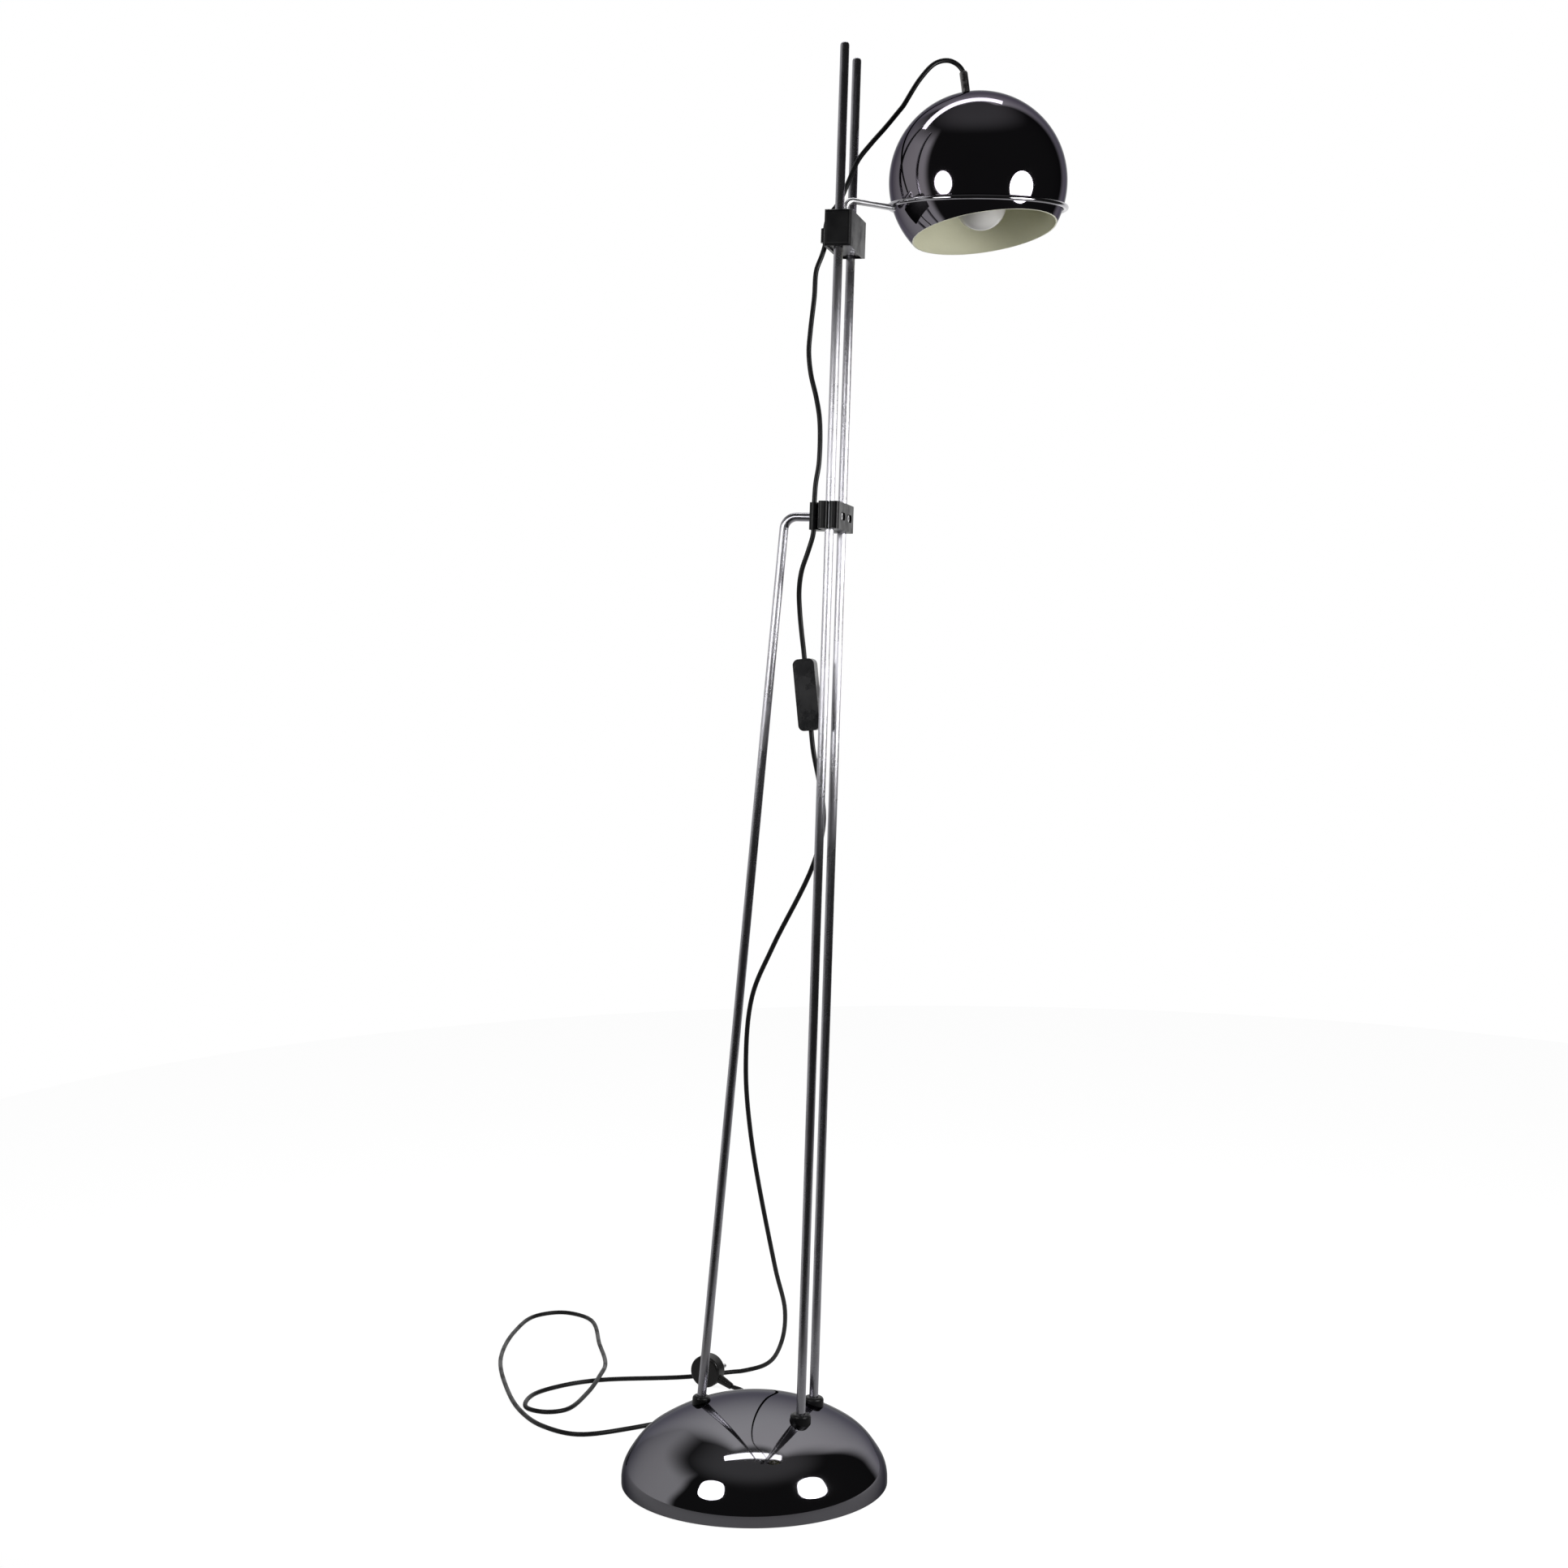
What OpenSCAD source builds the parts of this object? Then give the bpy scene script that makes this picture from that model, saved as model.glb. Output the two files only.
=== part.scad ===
// Floor lamp with a chromed globe shade: a domed base, two mast rods and a strut,
// a friction slider that sets the height, and a ring in which the globe turns.
// Millimetres, +Z up. The origin is the middle of the base, on the floor.
// +X points from the strut towards the shade, and +Y from the front rod to the rear rod.

/* [Base] */
// Diameter of the dome at the floor
base_d = 267; // [257:1:273]
// Height of the dome at its crown
base_h = 83; // [79:1:88]
// How much flatter the crown is than one arc from crown to rim would be
crown_flat = 42; // [14:1:60]
// Radius of the rounded shoulder
shoulder_r = 67; // [54:1:76]
// Thickness of the spun shell
shell_t = 1.5; // [1:0.1:2.5]
// Thickness of the felt pad
pad_t = 3; // [2:0.5:5]
// Height of the shell's rim over the floor
rim_lift = 1; // [0.5:0.1:1.5]
// Diameter of the cast weight
weight_d = 234; // [200:1:238]
// Height of the flat top of the cast weight
weight_top = 27; // [24:1:32]
// Diameter of the posts that the rods stand in
post_d = 24; // [20:1:30]

/* [Rods] */
// Diameter of the mast rods and the strut
rod_d = 9; // [7:0.5:10]
// Diameter of the threaded end of a rod
thread_d = 7; // [5:0.5:8]
// Distance between the mast rods
mast_gap = 56; // [52:1:62]
// Where the mast's axis meets the floor
mast_foot = 52; // [48:1:56]
// Lean of the mast towards the shade
mast_lean = 1.9; // [0:0.1:3]
// Length of the mast, from the floor along its axis
mast_len = 1431; // [1350:1:1500]
// Where the strut's axis meets the floor
strut_foot = 63; // [58:1:66]
// Lean of the strut towards the mast
strut_lean = 5.6; // [5:0.1:6.5]
// Radius of the bend at the top of the strut
strut_bend_r = 13; // [11:1:16]
// Height of the rubber ferrules
ferrule_h = 7; // [5:0.5:12]
// Diameter of the ferrules on the mast rods
mast_ferrule_d = 20.5; // [16:0.5:24]
// Diameter of the ferrule on the strut
strut_ferrule_d = 18; // [14:0.5:22]

/* [Clamp] */
// Height of the clamp's middle along the mast
clamp_at = 966; // [930:1:985]
// Height of the clamp
clamp_h = 27; // [20:1:32]
// Length of the clamp across the two rods
clamp_len = 73; // [72:1:80]
// Thickness of one jaw
jaw_t = 9.8; // [8:0.1:12]
// Gap between the two jaws
jaw_gap = 1.4; // [0.8:0.1:2]
// Reach of the boss that holds the strut
boss_out = 13.5; // [10:0.5:16]
// Width of that boss
boss_w = 19; // [17:1:20]
// Distance between the two clamp screws
screw_gap = 30; // [27:0.5:31]
// Thread diameter of the clamp screws
screw_d = 4; // [3:0.5:5]
// How much longer than high the recesses of the screws are
recess_run = 12; // [0:1:14]

/* [Slider] */
// Height of the slider's middle along the mast
slider_at = 1247.5; // [1100:0.5:1330]
// Width of the slider towards the shade
slider_w = 27; // [24:1:32]
// Length of the slider across the two rods
slider_len = 73; // [72:1:80]
// Height of the slider
slider_h = 36; // [34:1:44]
// Thickness of the cover plate underneath
cover_t = 2; // [1.5:0.1:2.5]
// Reach of the cord guide on the back
guide_out = 8; // [6:0.5:10]

/* [Arm] */
// Diameter of the arm
arm_d = 6; // [5:0.5:7]
// Height of the arm's elbow over the slider
elbow_up = 16.5; // [12:0.5:20]
// Radius of the arm's elbow
elbow_r = 7; // [5:0.5:10]
// Distance from the swivel to the middle of the ring
arm_reach = 139; // [134:1:150]
// Swing of the arm from the lamp's own plane
arm_swing = 30; // [0:1:40]
// Diameter of the ring's wire
ring_wire = 5; // [4:0.5:6]
// Height of the ring's middle over the slider
ring_up = 21; // [18:0.5:26]
// Rise of the ring away from the mast
ring_pitch = 2.5; // [0:0.5:4]
// Roll of the ring about the arm
ring_roll = 5; // [0:0.5:6]

/* [Globe] */
// Diameter of the globe shade
globe_d = 180; // [174:1:184]
// Thickness of the shade's wall
globe_t = 1.2; // [0.8:0.1:2]
// Depth of the mouth below the middle of the globe
mouth_down = 52; // [46:1:56]
// Height of the globe's middle over the ring
globe_drop = 25; // [22:1:28]
// Tilt of the globe towards the mast
globe_tilt = 7; // [0:0.5:12]
// Roll of the globe towards the rear
globe_roll = 7.5; // [-8:0.5:8]
// Length of the grip on top of the globe
grip_len = 26; // [18:1:32]
// Diameter of the grip
grip_d = 8.4; // [8:0.1:10]
// Diameter of the lampholder
holder_d = 38; // [34:1:42]
// Diameter of the bulb's glass
bulb_d = 51; // [45:1:54]
// Distance from the middle of the globe to the tip of the bulb
bulb_tip = 49; // [44:1:50]
// Length of the bulb's glass
bulb_len = 59; // [54:1:66]

/* [Cord] */
// Diameter of the cord
cord_d = 5; // [4:0.1:6]
// Width of the switch
switch_w = 22; // [21:1:30]
// Length of the switch
switch_len = 72; // [64:1:80]
// Thickness of the switch
switch_t = 15; // [15:1:20]
// Diameter of the plug's face
plug_d = 36; // [34:1:39]
// Thickness of the plug's body
plug_t = 16; // [13:1:20]

/* [Hidden] */
$fn = 64;

fit = 0.05;                       // radial clearance of a running or sliding fit
soft_gap = 0.3;                   // clearance round a soft or a curved part
over = 1;                         // how far a cut runs past the face it opens
lap = 0.05;                       // how far a straight length takes in the end of its bend
proud = 0.02;                     // how far one of two joined forms stands out, to join cleanly
cord_gap = 0.1;                   // between two stretches of the cord that move apart

// Base. The crown and the shoulder are two arcs. The shoulder's arc stands a hair proud of
// the crown's, so that they cross at one point with no visible corner.
crown_r = (base_d * base_d / 4 + base_h * base_h) / (2 * base_h) + crown_flat;
function met(c1, r1, c2, r2) =
    let (d = norm(c2 - c1), a = (r1 * r1 - r2 * r2 + d * d) / (2 * d), u = (c2 - c1) / d)
    c1 + a * u + sqrt(r1 * r1 - a * a) * [-u.y, u.x];
crown_c = [0, base_h - crown_r];
shoulder_c = met(crown_c, crown_r - shoulder_r + proud, [base_d / 2, 0], shoulder_r);

// Rods. Each stands on a ledge in the weight, and a nut pulls it down from below.
washer_t = 1.6;
washer_d = thread_d + 9;
nut_h = 6.5;
nut_af = thread_d + 5;
thread_end = pad_t + 3;
nut_from = thread_end + 2;
washer_from = nut_from + nut_h;
washer_top = washer_from + washer_t;
rod_from = washer_top + 3;
pocket_d = washer_d + 4;
rod_top_r = rod_d / 2 - 0.5;

// Clamp. Its own X starts at the plane of the two mast rods.
clamp_x = jaw_gap / 2 + jaw_t;
boss_end = clamp_x + boss_out;
socket_end = clamp_x - 2.5;
head_d = screw_d + 3;
head_h = screw_d;
head_from = clamp_x - head_h - 1;
clamp_nut_af = screw_d + 3;
clamp_nut_h = 3.2;
lug_d = cord_d + 4;
lug_hole = cord_d + 0.6;
lug_y = boss_w / 2 + lug_hole / 2 + 0.7;
lug_x = boss_end - lug_d / 2;

// Strut. Its length puts the end of its bend on the axis of the clamp's socket.
bend_turn = 90 + mast_lean - strut_lean;
lean_by = strut_lean - mast_lean;
bend_x = strut_bend_r * (1 - cos(bend_turn));
bend_z = strut_bend_r * sin(bend_turn);
feet_gap = mast_foot + strut_foot;
strut_len = (feet_gap * sin(mast_lean) + clamp_at + bend_x * sin(lean_by)) / cos(lean_by) - bend_z;
bend_out = feet_gap * cos(mast_lean) - bend_x * cos(lean_by) - (strut_len + bend_z) * sin(lean_by);

// Slider, from its own middle. The friction shoes lie in a pocket under the swivel.
cover_w = slider_w - 6;
cover_len = slider_len - 6;
cover_in = 2;
cover_low = cover_in - slider_h / 2;
pocket_low = cover_low + cover_t;
pocket_w = 12;
pocket_top = -1;
clip_room_d = 16;
bush_low = pocket_top + 4;
bush_d = arm_d + 4;
flange_d = arm_d + 7;
flange_t = 1.5;
clip_t = 1;
clip_at = bush_low - soft_gap - clip_t;
clip_neck = arm_d - 1;
leg_end = clip_at - 1.6;
shoe_back = mast_gap / 2 - rod_d / 2 - 11.5;
shoe_low = pocket_low + soft_gap;
shoe_top = pocket_top - soft_gap;
spring_d = 7.5;
spring_wire = 1.2;
spring_turns = 6;
cover_screw_d = 2.5;
cover_screw_x = cover_w / 2 - 2.4;
guide_x = slider_w / 2 + guide_out;
guide_y = 6;
guide_h = 14;

// Arm and ring, from the slider's middle
elbow_z = slider_h / 2 + elbow_up;
ring_z = slider_h / 2 + ring_up;
globe_r = globe_d / 2;
ring_r = sqrt(pow(globe_r + ring_wire / 2 + soft_gap, 2) - globe_drop * globe_drop);
seat_x = arm_reach - ring_r * cos(ring_pitch);
ring_bed = 1;                     // how deep the ring is let into the end of the arm
seat_z = ring_z - ring_r * sin(ring_pitch) - ring_wire / 2 - arm_d / 2 + ring_bed;
arm_fall = atan((elbow_z - seat_z) / seat_x);
elbow_turn = 90 + arm_fall;
elbow_low = elbow_z - elbow_r * tan(elbow_turn / 2);
arm_end_past = 0.5;
globe_at = [arm_reach - globe_drop * sin(ring_pitch), -globe_drop * sin(ring_roll) * cos(ring_pitch),
    ring_z + globe_drop * cos(ring_roll) * cos(ring_pitch)];

// Lampholder, along the globe's axis from its middle. The shade is gripped at its top.
tube_d = 10;
grip_bore = cord_d + 0.4;
grip_edge = 1.5;                  // height of the grip's bevelled end
cup_r = 14;                       // the low cup at the grip's foot is part of a ball
cup_h = 2;
cup_d = tube_d + 4;
tube_wall = 1.5;
nipple_nut_h = 4;
nut_low = globe_r - globe_t - nipple_nut_h - 1.5;
holder_top = nut_low - 17;
cap_h = 13;
cap_slope = 5;                    // height of the cone on the lampholder's cap
holder_wall = 2;
shell_top = holder_top - cap_h;
bulb_cap_d = 26;
bulb_cap_len = 25;
bulb_seat = bulb_len - bulb_tip;
bulb_cap_top = bulb_seat + bulb_cap_len;
shell_low = bulb_seat + 3;
bulb_cone = 5;                    // height of the cone under the bulb's foot contact
foot_contact_d = 9;
glass_neck_r = 20;                // radius of the hollow between the glass's ball and its neck
core_d = 31;
core_low = bulb_cap_top + 1.5;

// Switch, from its own middle; its length runs along its own Z
switch_at = [54, 5, 789];
switch_lean = 5.5;
switch_wall = 1.8;
rocker_w = 11;
rocker_len = 22;
rocker_r = 22;
rocker_pin_d = 3;
rocker_tip = 8;
rocker_room = 0.4;
pin_in = 4;                       // depth of the rocker's pin below the rear face
post_w = 5;
post_x = 6;
post_z = switch_len * 0.32;
screw_core = 2;
screw_head_d = 4.4;
contact_w = 4;
contact_len = 10;
contact_z = switch_len * 0.22;

// Plug, on its rim; its pins point along its own Z
plug_at = [-132, 276, plug_d / 2];
plug_turn = -11;
pin_d = 4.8;
pin_len = 19;
pin_gap = 19;
neck_fall = 25;
neck_from = plug_d / 2 - 4;
neck_to = 34;
neck_d = 11;

// Cords. The points were laid by hand along the middle of the cord.
top_route = [[201.6, 72.8, 1411.5], [200.2, 73.4, 1422.5], [194.6, 72, 1428.5], [185.3, 68, 1432.5],
    [173.2, 63, 1429], [159.7, 56, 1413.4], [143.1, 46, 1383]];
back_route = [[143.1, 46, 1383], [126.5, 36, 1359.5], [113.4, 28, 1342], [101.9, 21, 1324.6],
    [93.5, 13, 1301], [85, 9.5, 1281], [75, 7.5, 1267], [72.3, 6.1, 1257], [72, 6, 1252]];
middle_route = [[72, 6, 1252], [71.6, 6, 1239], [68.3, 6, 1228], [62.8, 5, 1213], [61, 4, 1187],
    [57.5, 1, 1151], [56.5, -1, 1131], [59, -3, 1109], [65.4, -6, 1084], [69.5, -9, 1061],
    [69.6, -12, 1020], [66.3, -13, 998], [65.1, -13, 982], [64.4, -13, 966]];
hang_route = [[64.4, -13, 966], [63.9, -13, 949], [58.5, -11.5, 932], [51, -9, 912], [47.5, -5, 893],
    [47.2, -1, 872], [48.3, 2, 852], [50, 4.5, 832], [51.1, 5, 818.9]];
floor_route = [[56.9, 5, 759.1], [59.2, 5.6, 735], [68, 15, 665], [55, 25, 618], [6, 50, 530], [-20, 67, 477],
    [-34, 94, 403], [-39, 134, 318], [-37, 176, 231], [-34, 218, 159], [-34, 264, 98], [-48, 302, 50],
    [-72, 334, 16], [-100, 343, 3], [-160, 304, 2.6], [-254, 268, 2.6], [-290, 237, 2.6],
    [-307, 196, 2.6], [-300, 160, 2.6], [-276, 143, 2.6], [-257, 166, 2.6], [-251, 215, 4],
    [-254, 268, 8], [-262, 318, 3], [-300, 402, 2.6], [-352, 492, 2.6], [-392, 532, 2.6],
    [-424, 508, 2.6], [-424, 430, 2.6], [-396, 322, 2.6], [-350, 219, 2.6], [-303, 141, 2.6],
    [-262, 99, 2.6], [-216, 82, 2.6], [-166, 116, 2.6], [-76, 204, 2.6], [-62, 238, 2.6],
    [-70, 264, 2.6], [-100.2, 278, 3.7], [-105.5, 279, 6.2]];

function unit(v) = v / norm(v);
function turned(v, from, to) =    // v carried from one direction to the next without twist
    let (k = cross(from, to), c = from * to)
    norm(k) < 0.00001 ? v : v * c + cross(k, v) + k * (k * v) / (1 + c);

// A round tube along points. Its rings face halfway between the two stretches they join;
// a point before it or after it gives its end the same face as the tube that goes on from there,
// and a tube that goes on from another starts a hair beyond that one's end.
module tube_along(points, d, sides = 8, before, after) {
    n = len(points);
    line = concat([is_undef(before) ? points[0] : before], points,
        [is_undef(after) ? points[n - 1] : after]);
    way = [for (i = [0:n - 1]) unit(line[i + 2] - line[i])];
    first = unit(cross(way[0], abs(way[0].z) > 0.9 ? [1, 0, 0] : [0, 0, 1]));
    side = [for (i = 0, u = first; i < n;
        u = i + 1 < n ? turned(u, way[i], way[i + 1]) : u, i = i + 1) u];
    from = [for (i = [0:n - 1])
        points[i] + (i == 0 && !is_undef(before) ? cord_gap : 0) * way[i]];
    rings = [for (i = [0:n - 1], s = [0:sides - 1])
        let (a = 360 * s / sides)
        from[i] + d / 2 * (cos(a) * side[i] + sin(a) * cross(way[i], side[i]))];
    walls = [for (i = [0:n - 2], s = [0:sides - 1])
        let (t = (s + 1) % sides)
        [i * sides + s, i * sides + t, (i + 1) * sides + t, (i + 1) * sides + s]];
    ends = [[for (s = [sides - 1:-1:0]) s], [for (s = [0:sides - 1]) (n - 1) * sides + s]];
    polyhedron(rings, [for (f = concat(walls, ends)) [for (k = [len(f) - 1:-1:0]) f[k]]], 4);
}

// A rectangle with four round corners, about the origin
module round_plan(w, l, r) {
    square([w - 2 * r, l], center = true);
    square([w, l - 2 * r], center = true);
    for (x = [-1, 1], y = [-1, 1])
        translate([x * (w / 2 - r), y * (l / 2 - r)]) circle(r);
}

// A rod's bend from the Z axis over towards +X, and the place just past its end
module bend(d, r, turn) {
    translate([r, 0, 0]) rotate([-90, 0, 0]) rotate([0, 0, 180])
        rotate_extrude(angle = turn) translate([r, 0]) circle(d = d);
}
module past_bend(r, turn) {
    translate([r * (1 - cos(turn)), 0, r * sin(turn)]) rotate([0, turn, 0])
        translate([0, 0, -lap]) children();
}

module hexagon(af, h) {
    cylinder(d = af / cos(30), h = h, $fn = 6);
}

// Frames of the sub-assemblies
module on_mast(side = 0) {
    translate([mast_foot, side * mast_gap / 2, 0]) rotate([0, mast_lean, 0]) children();
}
module on_strut() {
    translate([-strut_foot, 0, 0]) rotate([0, strut_lean, 0]) children();
}
module on_each_rod() {
    on_mast(-1) children();
    on_mast(1) children();
    on_strut() children();
}
module at_clamp() {
    on_mast() translate([0, 0, clamp_at]) children();
}
module at_slider() {
    on_mast() translate([0, 0, slider_at]) children();
}
module at_arm() {
    at_slider() rotate([0, 0, arm_swing]) children();
}
module at_ring() {
    at_arm() translate([arm_reach, 0, ring_z]) rotate([ring_roll, -ring_pitch, 0]) children();
}
module at_globe() {
    at_arm() translate(globe_at) rotate([-globe_roll, -globe_tilt, 0]) children();
}
module at_switch() {
    translate(switch_at) rotate([0, -switch_lean, 0]) children();
}
module at_plug() {
    translate(plug_at) rotate([0, 0, plug_turn]) rotate([-90, 0, 0]) children();
}

// ---- Base ----
module dome_plan(inset, from) {
    far = crown_r * 3;
    intersection() {
        translate(crown_c) circle(crown_r - inset, $fn = 128);
        union() {
            polygon([crown_c, crown_c + far * unit(shoulder_c - crown_c), [0, far]]);
            translate(shoulder_c) circle(shoulder_r - inset);
        }
        translate([0, from]) square([base_d, base_h]);
    }
}

module base_shell() {
    color("silver") difference() {
        rotate_extrude($fn = 128) difference() {
            dome_plan(0, rim_lift);
            dome_plan(shell_t, 0);
        }
        on_each_rod() cylinder(d = rod_d + 1, h = base_h * 1.5);
    }
}

module base_weight() {
    color("dimgray") difference() {
        intersection() {
            rotate_extrude($fn = 128) dome_plan(shell_t + soft_gap, pad_t);
            union() {
                translate([0, 0, pad_t]) cylinder(d = weight_d, h = weight_top - pad_t);
                on_each_rod() cylinder(d = post_d, h = base_h);
            }
        }
        on_each_rod() {
            translate([0, 0, -over]) cylinder(d = pocket_d, h = washer_top + over);
            cylinder(d = thread_d + 0.4, h = base_h);
            translate([0, 0, rod_from]) cylinder(d = rod_d + 2 * fit, h = base_h * 1.5);
        }
    }
}

module base_pad() {
    color("black") cylinder(r = base_d / 2 - shell_t - 3, h = pad_t);
}

module rod_nuts() {
    color("silver") on_each_rod() translate([0, 0, nut_from]) difference() {
        hexagon(nut_af, nut_h);
        translate([0, 0, -over]) cylinder(d = thread_d + 2 * fit, h = nut_h + 2 * over);
    }
}

module rod_washers() {
    color("silver") on_each_rod() translate([0, 0, washer_from]) difference() {
        cylinder(d = washer_d, h = washer_t);
        translate([0, 0, -over]) cylinder(d = thread_d + 0.4, h = washer_t + 2 * over);
    }
}

// A barrel-shaped rubber bush round a rod, its foot shaped to the crown of the dome
module ferrule(d, foot) {
    seat = crown_c.y + sqrt(crown_r * crown_r - foot * foot);
    skirt = ferrule_h / 2;        // taken off again by the dome
    color("black") difference() {
        rotate_extrude() {
            translate([0, seat - skirt]) square([d / 2 - ferrule_h / 2, ferrule_h + skirt]);
            translate([0, seat - skirt]) square([d / 2, ferrule_h / 2 + skirt]);
            translate([d / 2 - ferrule_h / 2, seat + ferrule_h / 2]) circle(ferrule_h / 2);
        }
        cylinder(d = rod_d + 2 * fit, h = base_h * 2);
    }
}

module seated() {
    difference() {
        children();
        translate([0, 0, crown_c.y]) sphere(crown_r, $fn = 128);
    }
}

rods_out = base_h * 0.87;         // about where the rods come out of the dome
mast_seat_r = norm([mast_foot + rods_out * tan(mast_lean), mast_gap / 2]);
strut_seat_r = strut_foot - rods_out * tan(strut_lean);

module ferrule_front() {
    seated() on_mast(-1) ferrule(mast_ferrule_d, mast_seat_r);
}
module ferrule_rear() {
    seated() on_mast(1) ferrule(mast_ferrule_d, mast_seat_r);
}
module ferrule_strut() {
    seated() on_strut() ferrule(strut_ferrule_d, strut_seat_r);
}

// ---- Rods ----
module rod_foot() {
    translate([0, 0, thread_end]) cylinder(d = thread_d, h = rod_from - thread_end);
}

module mast_rod() {
    color("silver") {
        rod_foot();
        rotate_extrude() {
            translate([0, rod_from]) square([rod_d / 2, mast_len - rod_from - rod_top_r]);
            intersection() {
                translate([rod_d / 2 - rod_top_r, mast_len - rod_top_r]) circle(rod_top_r);
                square([rod_d, mast_len]);
            }
            translate([0, mast_len - rod_top_r]) square([rod_d / 2 - rod_top_r, rod_top_r]);
        }
    }
}

module mast_rod_front() {
    on_mast(-1) mast_rod();
}
module mast_rod_rear() {
    on_mast(1) mast_rod();
}

module strut_rod() {
    color("silver") on_strut() {
        rod_foot();
        translate([0, 0, rod_from]) cylinder(d = rod_d, h = strut_len - rod_from);
        translate([0, 0, strut_len]) {
            bend(rod_d, strut_bend_r, bend_turn);
            past_bend(strut_bend_r, bend_turn)
                cylinder(d = rod_d + proud, h = bend_out - socket_end - 0.2);
        }
    }
}

// ---- Clamp ----
module jaw_plan() {
    translate([jaw_gap / 2 + jaw_t / 2, 0]) round_plan(jaw_t, clamp_len, 3.5);
}

module jaw_cuts() {
    for (side = [-1, 1]) {
        translate([0, side * mast_gap / 2, -clamp_h])
            cylinder(d = rod_d + 2 * fit, h = 2 * clamp_h);
        translate([0, side * screw_gap / 2, 0]) rotate([0, 90, 0])
            cylinder(d = screw_d + 0.4, h = 4 * jaw_t, center = true);
    }
}

module clamp_inner_jaw() {
    color("black") at_clamp() difference() {
        union() {
            translate([0, 0, -clamp_h / 2]) linear_extrude(clamp_h) mirror([1, 0]) jaw_plan();
            translate([-boss_end, -boss_w / 2, -clamp_h / 2])
                cube([boss_out + jaw_t / 2, boss_w, clamp_h]);
            translate([-lug_x, -lug_y, -clamp_h / 2]) cylinder(d = lug_d, h = clamp_h);
            translate([-boss_end, -lug_y, -clamp_h / 2]) cube([lug_d, lug_y, clamp_h]);
        }
        jaw_cuts();
        translate([-boss_end - over, 0, 0]) rotate([0, 90, 0])
            cylinder(d = rod_d + 2 * fit, h = boss_end - socket_end + over);
        translate([-lug_x, -lug_y, -clamp_h]) cylinder(d = lug_hole, h = 2 * clamp_h);
        for (side = [-1, 1])
            translate([-clamp_x - over, side * screw_gap / 2, 0]) rotate([0, 90, 0])
                hexagon(clamp_nut_af + 0.2, clamp_nut_h + over);
    }
}

module clamp_outer_jaw() {
    color([0.24, 0.24, 0.25]) at_clamp() difference() {
        translate([0, 0, -clamp_h / 2]) linear_extrude(clamp_h) jaw_plan();
        jaw_cuts();
        for (side = [-1, 1])
            translate([head_from, side * screw_gap / 2, 0]) {
                for (end = [-1, 1])
                    translate([0, end * recess_run / 2, 0]) rotate([0, 90, 0])
                        cylinder(d = head_d + 0.8, h = jaw_t);
                translate([0, -recess_run / 2, -head_d / 2 - 0.4])
                    cube([jaw_t, recess_run, head_d + 0.8]);
            }
    }
}

module clamp_screws() {
    color("silver") at_clamp() for (side = [-1, 1])
        translate([0, side * screw_gap / 2, 0]) rotate([0, 90, 0]) {
            translate([0, 0, -clamp_x + 0.5]) cylinder(d = screw_d, h = clamp_x - 0.5 + head_from);
            difference() {
                translate([0, 0, head_from]) cylinder(d = head_d, h = head_h);
                translate([0, 0, head_from + head_h / 2]) hexagon(screw_d * 0.75, head_h);
            }
        }
}

module clamp_nuts() {
    color("silver") at_clamp() for (side = [-1, 1])
        translate([-clamp_x, side * screw_gap / 2, 0]) rotate([0, 90, 0]) difference() {
            hexagon(clamp_nut_af, clamp_nut_h);
            translate([0, 0, -over]) cylinder(d = screw_d + 2 * fit, h = clamp_nut_h + 2 * over);
        }
}

// ---- Slider ----
module rod_bores(clear) {
    for (side = [-1, 1])
        translate([0, side * mast_gap / 2, -slider_h])
            cylinder(d = rod_d + 2 * clear, h = 2 * slider_h);
}

module slider_housing() {
    color([0.1, 0.1, 0.11]) at_slider() difference() {
        union() {
            intersection() {
                translate([0, 0, -slider_h / 2]) linear_extrude(slider_h)
                    round_plan(slider_w, slider_len, 3);
                rotate([90, 0, 90]) translate([0, 0, -slider_w]) linear_extrude(2 * slider_w)
                    round_plan(slider_len, slider_h, 3);
            }
            translate([-guide_x, guide_y, -guide_h / 2]) cylinder(d = lug_d, h = guide_h);
            translate([-guide_x, guide_y - lug_d / 2 + 1, -guide_h / 2])
                cube([guide_out + 2, lug_d - 2, guide_h]);
        }
        rod_bores(fit);
        translate([-guide_x, guide_y, -slider_h]) cylinder(d = lug_hole, h = 2 * slider_h);
        translate([0, 0, -slider_h / 2 - over]) linear_extrude(cover_in + cover_t + over)
            round_plan(cover_w + 0.4, cover_len + 0.4, 2.2);
        translate([-pocket_w / 2, -mast_gap / 2, pocket_low - over])
            cube([pocket_w, mast_gap, pocket_top - pocket_low + over]);
        translate([0, 0, pocket_top - over]) cylinder(d = clip_room_d, h = bush_low - pocket_top + over);
        translate([0, 0, bush_low - over]) cylinder(d = bush_d + 2 * fit, h = slider_h);
        for (side = [-1, 1])
            translate([side * cover_screw_x, 0, pocket_low - over])
                cylinder(d = cover_screw_d + 0.1, h = 8 + over);
    }
}

module slider_cover() {
    color([0.16, 0.16, 0.17]) at_slider() difference() {
        translate([0, 0, cover_low]) linear_extrude(cover_t) round_plan(cover_w, cover_len, 2);
        rod_bores(0.6);
        for (side = [-1, 1])
            translate([side * cover_screw_x, 0, -slider_h]) cylinder(d = cover_screw_d + 0.4, h = slider_h);
    }
}

module cover_screws() {
    color("silver") at_slider() for (side = [-1, 1])
        translate([side * cover_screw_x, 0, 0]) difference() {
            union() {
                translate([0, 0, cover_low]) cylinder(d = cover_screw_d, h = cover_t + 7);
                translate([0, 0, cover_low - 1.5]) cylinder(d = cover_screw_d + 2, h = 1.5);
            }
            translate([-0.4, -cover_screw_d, cover_low - 2]) cube([0.8, 2 * cover_screw_d, 1.2]);
        }
}

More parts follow.
